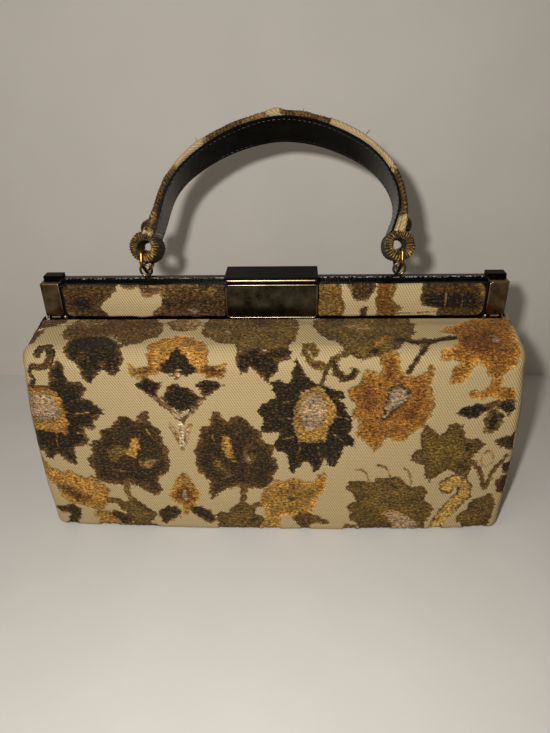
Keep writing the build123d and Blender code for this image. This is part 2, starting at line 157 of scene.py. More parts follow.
@dataclass(frozen=True)
class Patch:
    """One woven figure, bounded by a closed outline in cloth millimetres."""

    outline: str
    core: Yarn
    rim: Yarn
    rim_width: float = 2.5
    proud: float = 1.0

    def distance(self, s: Array, t: Array) -> Array:
        """Return the distance from each point to the outline, positive inside."""
        pts = trace(self.outline)
        best = np.full(s.shape, 1e9)
        inside = np.zeros(s.shape, bool)
        for p, q in zip(pts, np.roll(pts, -1, 0)):
            best = np.minimum(best, _segment_distance(s, t, p, q))
            crosses = (p[1] > t) != (q[1] > t)
            if q[1] != p[1]:
                at = p[0] + (t - p[1]) * (q[0] - p[0]) / (q[1] - p[1])
                inside ^= crosses & (s < at)
        return np.where(inside, best, -best)


@dataclass(frozen=True)
class Stem:
    """A stem, hook or line of even width along a few points in cloth millimetres."""

    outline: str
    width: float
    core: Yarn
    rim: Yarn
    rim_width: float = 1.2
    proud: float = 1.0

    def distance(self, s: Array, t: Array) -> Array:
        """Return the distance from each point to the stem's edge, positive inside."""
        pts = trace(self.outline)
        best = np.full(s.shape, 1e9)
        for p, q in zip(pts[:-1], pts[1:]):
            best = np.minimum(best, _segment_distance(s, t, p, q))
        return self.width / 2 - best


def _segment_distance(s: Array, t: Array, p: Array, q: Array) -> Array:
    """Return the distance from points to the segment from p to q."""
    d = q - p
    k = np.clip(((s - p[0]) * d[0] + (t - p[1]) * d[1]) / max(float(d @ d), 1e-9), 0, 1)
    return np.hypot(s - p[0] - k * d[0], t - p[1] - k * d[1])


Figure = Patch | Stem


@dataclass(frozen=True)
class Weave:
    """What the pattern says of each point of a cloth."""

    cover: Array
    colour: Array
    proud: Array


@dataclass(frozen=True)
class ClothPattern:
    """Figures in cut pile on a cream twill ground, later figures over earlier ones."""

    figures: Sequence[Figure]
    ragged: float = 1.15
    reach: float = 4.0

    def weave(self, s: Array, t: Array, seed: int) -> Weave:
        """Return the pattern at each point.

        Args:
            s: distance across the cloth, in millimetres.
            t: distance down the cloth, in millimetres.
            seed: number of the noise that frays the figures.
        """
        cover = np.full(s.shape, -9.0)
        colour = np.tile(Yarn.BROWN.colour, (*s.shape, 1))
        proud = np.ones(s.shape)
        fray = cloud(s / 2.4, t, 1.25, seed) * self.ragged + cloud(s, t, 4.5, seed + 1) * self.ragged * 0.7
        tone = cloud(s, t, 6.0, seed + 2) * 1.3 + cloud(s / 2, t, 1.4, seed + 3) * 1.3
        shade = 1.0 + 0.28 * cloud(s, t, 7.0, seed + 4) + 0.22 * cloud(s / 2, t, 2.2, seed + 5)
        for figure in self.figures:
            pts = trace(figure.outline)
            pad = self.reach + getattr(figure, "width", 0.0)
            (s0, t0), (s1, t1) = pts.min(0) - pad, pts.max(0) + pad
            near = (s > s0) & (s < s1) & (t > t0) & (t < t1)
            if not near.any():
                continue
            fine = min(1.0, figure.rim_width, getattr(figure, "width", 9.0) / 5)
            d = figure.distance(s[near], t[near]) + fray[near] * fine
            share = ease(d + tone[near], 0.2, figure.rim_width)[:, None]
            mixed = figure.rim.colour * (1 - share) + figure.core.colour * share
            before = cover[near]
            take = (d > 0) | ((before <= 0) & (d > before))
            colour[near] = np.where(take[:, None], mixed, colour[near])
            proud[near] = np.where(take, figure.proud, proud[near])
            cover[near] = np.where(take, np.maximum(d, before), before)
        return Weave(cover, colour * shade[..., None], proud)


def front_figures() -> list[Figure]:
    """Return the figures of the front: a pair of flowers below a crown, and what grows round them."""
    night, dark, brown, olive, tan = Yarn.NIGHT, Yarn.DARK, Yarn.BROWN, Yarn.OLIVE, Yarn.TAN
    gold, amber, rust, fox, mauve, cream = Yarn.GOLD, Yarn.AMBER, Yarn.RUST, Yarn.FOX, Yarn.MAUVE, Yarn.CREAM
    axis = -56.0
    wing = "-86,43 -82,45 -77,45 -73,43 -67,47 -71,51 -76,53 -84,53 -85,48"
    bud = "-84,57 -80,56 -76,53 -71,54 -66,57 -69,62 -71,67 -75,64 -79,61"
    shoulder = [
        Patch("-162,-4 -133,-4 -134,4 -139,8 -143,12 -145,20 -147,29 -162,33", brown, olive, 3),
        Stem("-149,13 -144,10.5 -139,9.5 -134,7", 1.6, cream, cream, 1, 1.2),
        Patch("-132,17 -130,9 -126,-3 -112,-4 -100,-4 -88,-3 -76,-2 -70,6 -68,16 -71,22 -77,26 -81,30 "
              "-88,31 -93,28 -97,24 -104,21 -121,22 -125,25 -129,25", brown, olive, 5),
        Patch("-128,-2 -110,-2 -106,5 -118,9", olive, tan, 3),
        Patch("-103,19 -97,18 -95,24 -97,27 -102,23", mauve, brown, 2, 0.8),
        Patch("-67,4 -60,-2 -50,-2 -45,5 -48,14 -55,17 -63,13", tan, olive, 4, 0.6),
        Patch("-43,10 -41,-3 -30,-4 -15,-4 0,-4 10,-3 17,2 17,20 15,26 12,31 12,36 -20,36 -21,31 -33,29 "
              "-36,25 -41,21 -44,15", olive, brown, 5),
        Patch("-29,12 -25,13 -24,19 -28,20", mauve, olive, 3, 0.8),
        Patch("25,8 31,-2 45,-4 56,-4 66,-3 76,-3 86,-1 90,8 88,17 86,22 82,27 79,31 76,34 72,37 66,40 "
              "54,41 48,39 44,39 43,34 41,30 38,26 33,23 28,15", olive, brown, 5),
        Patch("44,7 56,3 62,8 66,14 56,19 48,14", tan, olive, 4, 0.8),
        Patch("30,-3 44,-4 42,4 34,6", dark, olive, 3),
        Patch("-20,-3 0,-4 6,6 -10,9", brown, olive, 4),
        Patch("60,28 66,24 71,20 74,23 68,31 62,33", gold, rust, 3),
        Patch("56,34 64,33 66,38 58,39", night, brown, 2),
        Patch("58,20 66,19 64,24 58,24", dark, brown, 2),
    ]
    left = [
        Patch("-125,24 -126,30 -125,36 -122,41 -117,43 -115,48 -114,53 -110,57 -107,53 -103,49 -101,46 "
              "-98,50 -95,51 -91,48 -89,41 -91,35 -90,31 -95,26 -101,22 -113,19 -121,21", night, brown, 3),
        Patch("-117,35 -112,32 -109,37 -113,43 -117,41", brown, dark, 3),
        Stem("-141,37 -140,33 -136,32 -133,37 -134,43 -139,46 -145,46", 5.2, brown, dark, 1.6),
        Stem("-147,49 -145,54 -148,60", 3.5, brown, dark, 1.2),
        Patch("-128,41 -126,44 -125,50 -124,55 -119,56 -113,59 -115,64 -117,66 -113,69 -109,72 -105,77 "
              "-107,81 -112,84 -112,90 -115,92 -120,90 -118,96 -120,102 -125,104 -128,104 -129,111 -130,119 "
              "-134,117 -138,112 -141,110 -144,116 -148,114 -150,107 -153,108 -158,100 -158,58 -146,58 "
              "-138,58 -135,53 -133,47", night, brown, 3.5),
        Patch("-158,60 -145,60 -138,61 -133,65 -130,70 -129,78 -130,87 -132,97 -136,94 -141,92 -150,92 "
              "-158,90", gold, rust, 3, 0.55),
        Patch("-158,62 -143,64 -136,67 -133,73 -133,80 -137,85 -144,85 -158,82", mauve, tan, 2.5, 0.3),
        Patch("-158,106 -150,117 -146,122 -141,125 -136,123 -130,126 -124,129 -121,126 -118,131 -113,134 "
              "-110,139 -112,144 -114,150 -115,155 -120,158 -128,156 -133,153 -141,151 -145,146 -147,140 "
              "-150,133 -158,130", amber, gold, 4),
        Patch("-147,138 -141,134 -135,137 -128,143 -121,147 -124,152 -133,151 -141,147", fox, gold, 4),
        Patch("-125,160 -120,157 -113,157 -109,163 -107,170 -112,182 -127,182 -122,168", gold, tan, 3),
        Patch("-153,157 -147,154 -138,153 -133,157 -134,163 -138,172 -143,182 -152,182 -145,170 -141,161 "
              "-148,162", dark, brown, 2.5),
    ]
    crown = [
        Patch("-74,39 -73,32 -69,26 -62,23 -56,21 -50,23 -43,27 -38,32 -38,40 -37,46 -42,51 -50,46 -56,42 "
              "-62,46 -70,51 -74,46", amber, rust, 4),
        Patch(wing, fox, gold, 3),
        Patch(mirrored(wing, axis), fox, gold, 3),
        Patch("-56,33 -59,37 -63,41 -66,44 -67,48 -62,51 -56,51 -50,51 -45,49 -45,45 -50,40 "
              "-53,36", night, dark, 1.5),
        Patch("-58,47 -54,47 -53,54 -59,54", mauve, brown, 1.5, 0.5),
        Patch(bud, night, brown, 1.8),
        Patch(mirrored(bud, axis), night, brown, 1.8),
        Stem("-71,67 -64,74 -59,80 -56,84 -53,80 -48,74 -41,67", 3.2, mauve, brown, 2.5, 0.5),
        Patch("-56,57 -60,58 -65,62 -69,67 -64,72 -60,75 -56,80 -52,75 -48,72 -43,67 -47,63 "
              "-51,59", night, brown, 2),
        Stem("-64,86 -61,93 -57.5,104 -54,94 -51,86", 3.0, mauve, tan, 1.6, 0.4),
        Stem("-57.5,84 -57.5,102", 2.2, mauve, cream, 1.4, 0.3),
        Patch("-59,122 -55,127 -52,134 -49,141 -50,147 -54,152 -57,154 -58,160 -61,160 -62,153 -67,148 "
              "-70,143 -68,137 -65,131", gold, amber, 3),
        Patch("-59,133 -53,140 -52,147 -59,151 -66,147 -65,140", fox, rust, 3),
        Patch("-61,139 -57,139 -57,147 -61,147", mauve, fox, 2, 0.6),
    ]
    pair_left = (
        "-98,84 -96,81 -92,80 -88,82 -86,84 -84,79 -81,76 -77,77 -77,83 -75,88 -71,90 -70,96 -69,101 "
        "-67,105 -68,112 -67,119 -69,124 -74,127 -76,131 -74,136 -77,143 -82,141 -87,138 -91,134 -96,133 "
        "-101,135 -108,134 -113,132 -118,129 -118,124 -121,119 -121,114 -118,109 -118,101 -113,98 -110,95 "
        "-110,91 -105,89 -101,88"
    )
    pair_right = (
        "-46,93 -44,88 -39,86 -38,80 -36,76 -32,77 -30,82 -27,84 -26,80 -21,79 -17,82 -14,87 -9,89 -6,92 "
        "-6,98 -2,100 1,104 1,110 4,115 4,119 1,124 0,129 -2,133 -8,135 -14,136 -20,134 -25,134 -30,137 "
        "-36,140 -41,144 -43,139 -42,131 -45,126 -49,122 -50,116 -49,110 -50,105 -47,100"
    )
    pair = [
        Stem("-98.5,133 -99,140 -96,147 -91,152 -84,158", 4.6, olive, brown, 1.5),
        Stem("-19.5,134 -19.5,143 -22,150 -28,156", 4.6, olive, brown, 1.5),
        Patch(pair_left, dark, brown, 5),
        Patch("-108,103 -98,100 -92,106 -96,114 -103,118 -110,112", olive, dark, 4),
        Patch("-90,113 -80,110 -72,113 -78,121 -88,121", tan, dark, 5, 0.9),
        Patch("-87,95 -85,99 -86,104 -88,112 -92,112 -95,108 -92,105 -91,99", amber, gold, 1.2, 0.4),
        Patch(pair_right, dark, brown, 5),
        Patch("-43,112 -35,111 -29,118 -22,121 -28,127 -38,123", olive, dark, 4),
        Patch("-20,100 -10,101 -8,110 -14,118 -21,112", olive, dark, 5),
        Stem("-14,105 -16,112", 3.0, mauve, dark, 2.5, 0.7),
        Patch("-31,95 -28,95 -26,99 -25,106 -25,114 -27,115 -31,108 -32,101", amber, gold, 1.2, 0.4),
        Patch("-115,146 -108,146 -101,149 -95,149 -89,153 -85,157 -81,156 -79,161 -84,166 -90,170 -97,169 "
              "-100,163 -105,157 -106,152 -114,150", olive, brown, 2.5),
        Patch("-114,160 -110,157 -104,158 -98,162 -98,170 -104,170 -110,165", dark, brown, 2),
        Patch("-112,170 -82,168 -74,182 -114,182", brown, olive, 4),
        Patch("-79,160 -77,155 -71,152 -65,153 -63,157 -65,162 -71,166 -75,168", dark, olive, 2),
        Patch("-56,153 -50,151 -44,154 -41,159 -40,165 -44,168 -50,163 -55,159", dark, olive, 2),
        Patch("-39,159 -34,156 -30,157 -26,154 -22,150 -16,149 -11,147 -4,147 -4,151 -11,152 -13,158 -7,160 "
              "-5,163 -9,168 -12,182 -42,182 -38,168", olive, brown, 3),
        Patch("-18,163 -12,160 -6,161 -9,166 -16,167", dark, olive, 2),
    ]
    middle = [
        Patch("-21,39 -20,35 -14,36 -8,33 -2,36 4,33 10,31 13,36 12,40 5,42 4,47 1,52 -2,56 -5,51 -9,48 "
              "-12,45 -14,49 -18,50 -20,45", night, brown, 3),
        Stem("26.5,37 25,31 21.5,31 20.5,37 24,43 30,45.5 36,44 40,39 45,37", 4.4, brown, olive, 1.8),
        Stem("37,42 40,48 44,53 49,52 50,48", 5.2, dark, brown, 1.8),
        Stem("34,46 31,56", 2.4, brown, dark, 1),
        Patch("13,51 14,45 16,41 18,45 21,50 25,55 29,57 33,58 37,60 42,60 46,62 45,66 42,69 45,72 48,78 "
              "50,84 51,88 48,92 51,97 52,102 46,102 45,106 43,111 40,117 36,116 34,111 31,117 28,122 "
              "25,117 23,114 19,116 16,119 13,123 11,119 11,113 8,107 4,106 2,101 3,95 5,92 -1,92 -7,90 "
              "-5,83 -9,77 -6,72 -2,69 4,65 1,61 -1,56 3,54 9,55 12,55", night, dark, 3),
        Patch("24,60 30,59 34,63 38,68 40,74 40,82 37,87 35,93 34,98 28,99 16,100 15,92 13,84 14,76 16,69 "
              "19,64", gold, tan, 2.4, 0.5),
        Patch("25,63 30,63 34,69 35,76 33,82 29,88 24,91 19,87 17,80 18,72 21,66", mauve, tan, 2.2, 0.3),
        Patch("34,120 36,125 35,132 34,138 30,141 29,147 27,153 24,158 19,159 11,160 6,158 6,164 4,172 "
              "4,182 -8,182 -9,170 -6,162 -6,153 -9,147 -8,141 -5,136 0,131 3,128 8,130 14,127 20,129 "
              "27,129 31,126", gold, amber, 4),
        Patch("30,124 34,124 33,136 28,135", rust, gold, 3),
        Patch("9,130 17,128 17,138 10,139", rust, gold, 4),
        Patch("9,144 14,141 20,139 18,144 12,150", brown, gold, 2.5),
        Patch("13,160 17,157 23,156 29,159 34,162 38,165 33,167 28,166 25,168 26,182 17,182 "
              "17,170", brown, olive, 2.5),
    ]
    threads = [
        "8,70 15,68", "6,82 13,81", "7,97 14,95", "18,103 16,112", "29,101 31,112", "38,92 45,98",
        "40,80 48,82", "38,68 43,64", "-118,68 -124,70", "-115,78 -126,80", "-120,95 -127,92",
        "-139,96 -140,106", "-106,122 -95,124", "-80,90 -76,98", "-104,96 -98,101", "-38,94 -36,102",
        "-12,96 -14,104", "-34,128 -22,124",
    ]
    middle += [Stem(points, 0.8, tan, brown, 0.6, 1.0) for points in threads]
    right = [
        Stem("77,25 88,28 98,27 110,23 119,21", 4.8, night, brown, 1.6),
        Stem("96,28 89,38 82.5,48", 3.6, dark, brown, 1.4),
        Patch("66,45 65,39 69,36 75,36 77,40 77,46 80,51 84,52 90,51 93,47 95,43 98,47 98,53 96,58 98,65 "
              "100,72 99,79 96,82 96,87 92,90 87,92 86,97 80,99 74,96 70,99 68,104 65,108 62,102 58,97 "
              "54,94 54,88 52,81 50,76 52,72 48,67 46,62 50,59 54,56 54,51 58,47 63,48 "
              "65,51", rust, gold, 4),
        Patch("69,42 73,40 75,50 73,55 69,52", fox, rust, 3),
        Patch("84,57 93,54 95,66 92,80 84,86 78,80 85,70 86,62", fox, rust, 5),
        Patch("52,62 57,55 66,57 67,66 65,78 59,84 55,74", fox, rust, 5),
        Patch("73,58 79,57 84,61 84,67 80,72 75,77 71,82 67,85 66,82 69,76 70,69 "
              "70,62", mauve, dark, 4, 0.5),
        Patch("150,-4 149,15 148,30 146,45 143,46 140,49 138,53 139,59 146,59 148,64 147,70 140,70 134,67 "
              "127,68 121,66 119,61 126,61 131,58 132,53 129,48 124,44 119,47 118,53 114,58 110,58 107,54 "
              "108,48 111,43 108,41 101,41 102,36 108,32 113,28 116,23 109,19 104,17 108,12 120,5 "
              "130,-1", rust, amber, 4.5),
        Patch("113,22 120,14 130,10 141,14 141,30 138,42 128,41 114,33", fox, rust, 5),
        Patch("132,18 137,19 139,27 136,30 133,26", mauve, fox, 2.5, 0.6),
        Patch("97,86 99,89 103,91 106,94 108,91 110,87 115,85 120,87 121,93 122,98 126,97 132,98 135,102 "
              "131,107 128,110 127,114 129,120 126,127 121,125 117,123 113,121 109,124 106,127 103,130 "
              "99,126 98,121 99,116 94,115 89,113 89,108 94,103 94,98 93,93 95,88", olive, brown, 4),
        Patch("121,100 128,99 128,108 121,107", dark, olive, 3),
        Patch("100,114 106,113 107,122 101,122", dark, olive, 3),
        Patch("118,114 125,114 126,122 119,121", dark, olive, 3),
        Patch("48,135 51,130 57,129 63,131 67,130 69,126 75,127 80,126 86,127 88,132 92,134 97,133 101,137 "
              "101,143 100,147 105,149 107,154 106,160 103,166 101,182 60,182 58,166 54,164 51,161 53,156 "
              "49,152 50,148 55,146 53,140", olive, brown, 4),
        Patch("76,130 84,130 84,138 78,138", dark, olive, 3),
        Patch("61,165 78,163 82,170 84,182 60,182", brown, olive, 4),
        Patch("72,157 78,155 86,156 92,160 98,165 99,182 84,182 82,170 78,163", mauve, tan, 3, 0.4),
        Stem("54,120 58,120 61,123 63.5,130", 1.5, olive, tan, 0.8, 0.6),
        Stem("68,116 73,118 76,122 77,127", 1.5, olive, tan, 0.8, 0.6),
        Stem("85,119 88,121 90,126 91,132", 1.5, olive, tan, 0.8, 0.6),
        Stem("114.5,136 115,132 120,130 125.5,134 125.5,142 121,150 115,158 111.5,167 "
             "110.5,182", 10.0, Yarn.STRAW, brown, 1.9),
        Patch("123,160 126,156 131,154 130,149 133,145 138,144 143,142 147,144 149,151 148,160 147,170 "
              "143,182 129,182 130,169 125,166", olive, brown, 4),
        Stem("121,173 125,172 126,177", 3.0, olive, tan, 1),
        Stem("129,115 134,121 139.5,136 143,122 150,111", 3.8, brown, olive, 1.5),
        Stem("137.5,106 133.5,110 135,117 138,119 142,115 141.5,109 137.5,106", 1.4, mauve, tan, 0.8, 0.4),
        Patch("115,78 118,73 124,71 131,71 141,68 148,69 150,75 147,79 142,76 136,74 131,77 128,80 "
              "121,81", night, brown, 2),
        Patch("131,84 133,78 137,74 142,79 143,85 141,91 137,94 133,92", night, olive, 3),
        Patch("140,99 144,95 158,94 158,108 147,105", dark, brown, 2.5),
        Patch("146,132 149,127 158,127 158,144 148,140", dark, brown, 2.5),
        Patch("148,117 158,113 158,125 150,124", dark, brown, 2),
        Patch("48,166 57,168 57,182 49,182", rust, gold, 3),
    ]
    return shoulder + left + crown + pair + middle + right


def plug(node: bpy.types.Node, inputs: dict[int | str, object]) -> None:
    """Give each input of a node, by name or number, its value or the output that it is linked to."""
    for key, value in inputs.items():
        if isinstance(value, bpy.types.NodeSocket):
            node.id_data.links.new(value, node.inputs[key])
        else:
            node.inputs[key].default_value = value


def add(
    tree: bpy.types.NodeTree, kind: str, inputs: dict | None = None, out: int | str = 0, **settings: object
) -> bpy.types.NodeSocket:
    """Add one node with its settings and links.

    Args:
        tree: the material's node tree.
        kind: the node's type, without its prefix.
        inputs: value or linked output of its inputs, by name or number.
        out: the output that is wanted, by name or number.
        settings: properties of the node.

    Returns:
        The wanted output.
    """
    node = tree.nodes.new("ShaderNode" + kind)
    for name, value in settings.items():
        setattr(node, name, value)
    plug(node, inputs or {})
    return node.outputs[out]


def rgba(hex_colour: str) -> tuple[float, float, float, float]:
    """Return a hex colour as linear red, green, blue and full alpha."""
    return (*linear(hex_colour), 1.0)


def new_material(name: str) -> tuple[bpy.types.Material, bpy.types.Node, Callable[..., bpy.types.NodeSocket]]:
    """Return a new material, its surface shader and what adds a node to it."""
    material = bpy.data.materials.new(name)
    material.use_nodes = True
    tree = material.node_tree
    return material, tree.nodes["Principled BSDF"], partial(add, tree)


RAMP = {3: 0.0, 4: 1.0}
SUM, PRODUCT, SCALED_SUM = ({"operation": kind} for kind in ("ADD", "MULTIPLY", "MULTIPLY_ADD"))
COLOURS = {"out": 2, "data_type": "RGBA"}


@dataclass(frozen=True)
class CutVelvetTapestry:
    """Cotton twill with rayon velvet figures: matt pile over a ribbed, slightly shiny ground."""

    name: str = "cut_velvet_tapestry"
    ground: str = "C6B084"
    ground_line: str = "978054"
    stain: str = "A98C5E"
    fibre_glint: str = "B08A4C"             # painted glints where light catches the pile's fibres
    twill_mm: float = 1.45          # distance between two diagonal ribs
    weft_mm: float = 1.1            # one weft yarn
    tuft_mm: float = 1.15           # one tuft of the pile
    wander_mm: float = 6.0          # over which the ribs stray
    stain_mm: float = 28.0
    roughness: float = 0.85

    def build(self) -> bpy.types.Material:
        """Return the material; the mesh carries the cloth's coordinates and its weave."""
        material, shader, node = new_material(self.name)
        cloth = node("UVMap", uv_map="cloth")
        across, down = node("SeparateXYZ", {0: cloth}).node.outputs[:2]
        slanted = node("Math", {
            0: node("Math", {0: across, 1: 0.87}, **PRODUCT), 1: node("Math", {0: down, 1: 0.5}, **PRODUCT),
        }, operation="SUBTRACT")
        wander = node("TexNoise", {"Vector": cloth, "Scale": 1 / self.wander_mm, "Detail": 2.0})
        phase = node("Math", {0: slanted, 1: 2 * math.pi / self.twill_mm}, **PRODUCT)
        phase = node("Math", {0: wander, 1: 2.0, 2: phase}, **SCALED_SUM)
        rib = node("Math", {0: node("Math", {0: phase}, operation="SINE"), 1: 0.5, 2: 0.5}, **SCALED_SUM)
        weft = node("Math", {0: down, 1: 2 * math.pi / self.weft_mm}, **PRODUCT)
        rib = node("Math", {0: node("Math", {0: weft}, operation="SINE"), 1: 0.16, 2: rib}, **SCALED_SUM)
        lit = node("Math", {0: rib, 1: 0.68, 2: 0.16}, **SCALED_SUM)
        base = node("Mix", {0: lit, 6: rgba(self.ground_line), 7: rgba(self.ground)}, **COLOURS)
        stain = node("TexNoise", {"Vector": cloth, "Scale": 1 / self.stain_mm, "Detail": 3.0})
        stain = node("Math", {0: stain, 1: 0.35}, **PRODUCT)
        base = node("Mix", {0: stain, 6: base, 7: rgba(self.stain)}, **COLOURS)

        lying = node("Mapping", {"Vector": cloth, "Scale": (0.55, 1.0, 1.0)})
        tuft = node("TexNoise", {"Vector": lying, "Scale": 1 / self.tuft_mm, "Detail": 2.0, "Roughness": 0.8})
        # painted highlight: specks of the pile are lifted towards a pale colour where fibres would catch the
        # light
        glint = node("MapRange", {0: tuft, 1: 0.56, 2: 0.68, **RAMP})
        shade = node("MapRange", {0: tuft, 1: 0.34, 2: 0.66, 3: 0.12, 4: 1.85})
        yarn = node("Attribute", out="Color", attribute_name="yarn")
        grey = node("CombineXYZ", {0: shade, 1: shade, 2: shade})
        pile = node("Mix", {0: 1.0, 6: yarn, 7: grey}, **COLOURS, blend_type="MULTIPLY")
        bright = node("Mix", {0: 1.0, 6: yarn, 7: (2.2, 2.1, 2.0, 1.0)}, **COLOURS, blend_type="MULTIPLY")
        bright = node("Mix", {0: 0.3, 6: bright, 7: rgba(self.fibre_glint)}, **COLOURS)
        pile = node("Mix", {0: node("Math", {0: glint, 1: 0.7}, **PRODUCT), 6: pile, 7: bright}, **COLOURS)

        cover = node("Attribute", out="Fac", attribute_name="cover")
        proud = node("Attribute", out="Fac", attribute_name="proud")
        frayed = node("Math", {0: tuft, 1: 5.0, 2: -2.5}, **SCALED_SUM)
        mask = node("MapRange", {0: node("Math", {0: cover, 1: frayed}, **SUM), 1: -0.15, 2: 0.15, **RAMP})
        low, high = node("Math", {0: rib, 1: 0.35}, **PRODUCT), node("Math", {0: tuft, 1: proud}, **PRODUCT)
        height = node("Mix", {0: mask, 2: low, 3: high}, data_type="FLOAT")
        plug(shader, {
            "Base Color": node("Mix", {0: mask, 6: base, 7: pile}, **COLOURS),
            "Normal": node("Bump", {"Height": height, "Strength": 0.9, "Distance": 0.0012}),
            "Roughness": self.roughness, "Specular IOR Level": 0.15,
            "Sheen Weight": 0.03, "Sheen Roughness": 0.5,
        })
        return material


@dataclass(frozen=True)
class GrainLeather:
    """Calf leather, dyed and glazed: a fine pebble that breaks up its highlights."""

    name: str = "glazed_black_calf"
    colour: str = "080706"
    # patch colour: duller wear on the leather, painted highlight on the piping
    dull_and_highlight: str = "12100D"
    pebble_mm: float = 0.9
    wear_and_highlight_mm: float = 14.0
    wear_and_highlight_share: float = 0.7
    roughness: float = 0.17
    wear: float = 0.14              # roughness that wear adds

    def build(self) -> bpy.types.Material:
        """Return the material."""
        material, shader, node = new_material(self.name)
        place = node("TexCoord", out="Object")
        pebble = node("TexVoronoi", {"Vector": place, "Scale": 1 / (self.pebble_mm * MM)})
        wear_and_highlight = node("TexNoise", {"Vector": place, "Scale": 1 / (self.wear_and_highlight_mm * MM), "Detail": 4.0})
        share = node("MapRange", {0: wear_and_highlight, 1: 0.45, 2: 0.7, 3: 0.0, 4: self.wear_and_highlight_share})
        rough = {3: self.roughness, 4: self.roughness + self.wear}
        plug(shader, {
            "Base Color": node("Mix", {0: share, 6: rgba(self.colour), 7: rgba(self.dull_and_highlight)}, **COLOURS),
            "Roughness": node("MapRange", {0: wear_and_highlight, 1: 0.3, 2: 0.8, **rough}),
            "Normal": node("Bump", {"Height": pebble, "Strength": 0.35, "Distance": 0.0003}),
            "Specular IOR Level": 0.2,
        })
        return material


@dataclass(frozen=True)
class AgedMetal:
    """Brass sheet or wire, polished and then tarnished: cloudy patches and small pits in the shine."""

    name: str
    colour: str
    tarnish: str
    roughness: float = 0.2
    cloud_mm: float = 9.0
    pit_mm: float = 0.7
    pits: float = 0.3
    metallic: float = 1.0
    specular: float = 0.5
    pit_colour: str = "B7A98A"

    def build(self) -> bpy.types.Material:
        """Return the material."""
        material, shader, node = new_material(self.name)
        place = node("TexCoord", out="Object")
        patchy = node("TexNoise", {
            "Vector": place, "Scale": 1 / (self.cloud_mm * MM), "Detail": 5.0, "Roughness": 0.65,
        })
        share = node("MapRange", {0: patchy, 1: 0.38, 2: 0.66, **RAMP})
        colour = node("Mix", {0: share, 6: rgba(self.colour), 7: rgba(self.tarnish)}, **COLOURS)
        pit = node("TexNoise", {"Vector": place, "Scale": 1 / (self.pit_mm * MM), "Detail": 1.0})
        speck = node("MapRange", {0: pit, 1: 0.66, 2: 0.74, 3: 0.0, 4: self.pits})
        speck = node("Math", {0: speck, 1: share}, **PRODUCT)
        rough = node("Math", {0: patchy, 1: 0.16, 2: self.roughness - 0.05}, **SCALED_SUM)
        plug(shader, {
            "Base Color": node("Mix", {0: speck, 6: colour, 7: rgba(self.pit_colour)}, **COLOURS),
            "Roughness": node("Math", {0: speck, 1: 0.5, 2: rough}, **SCALED_SUM),
            "Normal": node("Bump", {"Height": pit, "Strength": 0.12, "Distance": 0.0002}),
            "Metallic": self.metallic, "Specular IOR Level": self.specular,
        })
        return material


@dataclass(frozen=True)
class PlainCloth:
    """Cloth or board of one colour, woven or pressed, with its thread or fibre as fine relief."""

    name: str
    colour: str
    shade: str
    thread_mm: float
    roughness: float
    fold_mm: float = 30.0

    def build(self) -> bpy.types.Material:
        """Return the material."""
        material, shader, node = new_material(self.name)
        place = node("TexCoord", out="Object")
        thread = node("TexNoise", {"Vector": place, "Scale": 1 / (self.thread_mm * MM), "Detail": 3.0})
        fold = node("TexNoise", {"Vector": place, "Scale": 1 / (self.fold_mm * MM), "Detail": 2.0})
        share = node("Math", {0: node("Math", {0: thread, 1: fold}, **SUM), 1: 0.5}, **PRODUCT)
        plug(shader, {
            "Base Color": node("Mix", {0: share, 6: rgba(self.shade), 7: rgba(self.colour)}, **COLOURS),
            "Normal": node("Bump", {"Height": thread, "Strength": 0.4, "Distance": 0.0003}),
            "Roughness": self.roughness,
        })
        return material


@dataclass(frozen=True)
class MattPaper:
    """Pale backing paper, matt and faintly uneven; one that stands up is seen from its front only."""

    name: str
    colour: str
    light: str
    one_sided: bool = False
    grain_mm: float = 60.0

    def build(self) -> bpy.types.Material:
        """Return the material."""
        material, shader, node = new_material(self.name)
        place = node("TexCoord", out="Object")
        grain = node("TexNoise", {"Vector": place, "Scale": 1 / (self.grain_mm * MM), "Detail": 3.0})
        paper = node("Mix", {0: grain, 6: rgba(self.colour), 7: rgba(self.light)}, **COLOURS)
        plug(shader, {"Base Color": paper, "Roughness": 0.9})
        if self.one_sided:
            back = node("NewGeometry", out="Backfacing")
            surface = node("MixShader", {0: back, 1: shader.outputs[0], 2: node("BsdfTransparent")})
            plug(material.node_tree.nodes["Material Output"], {0: surface})
        return material


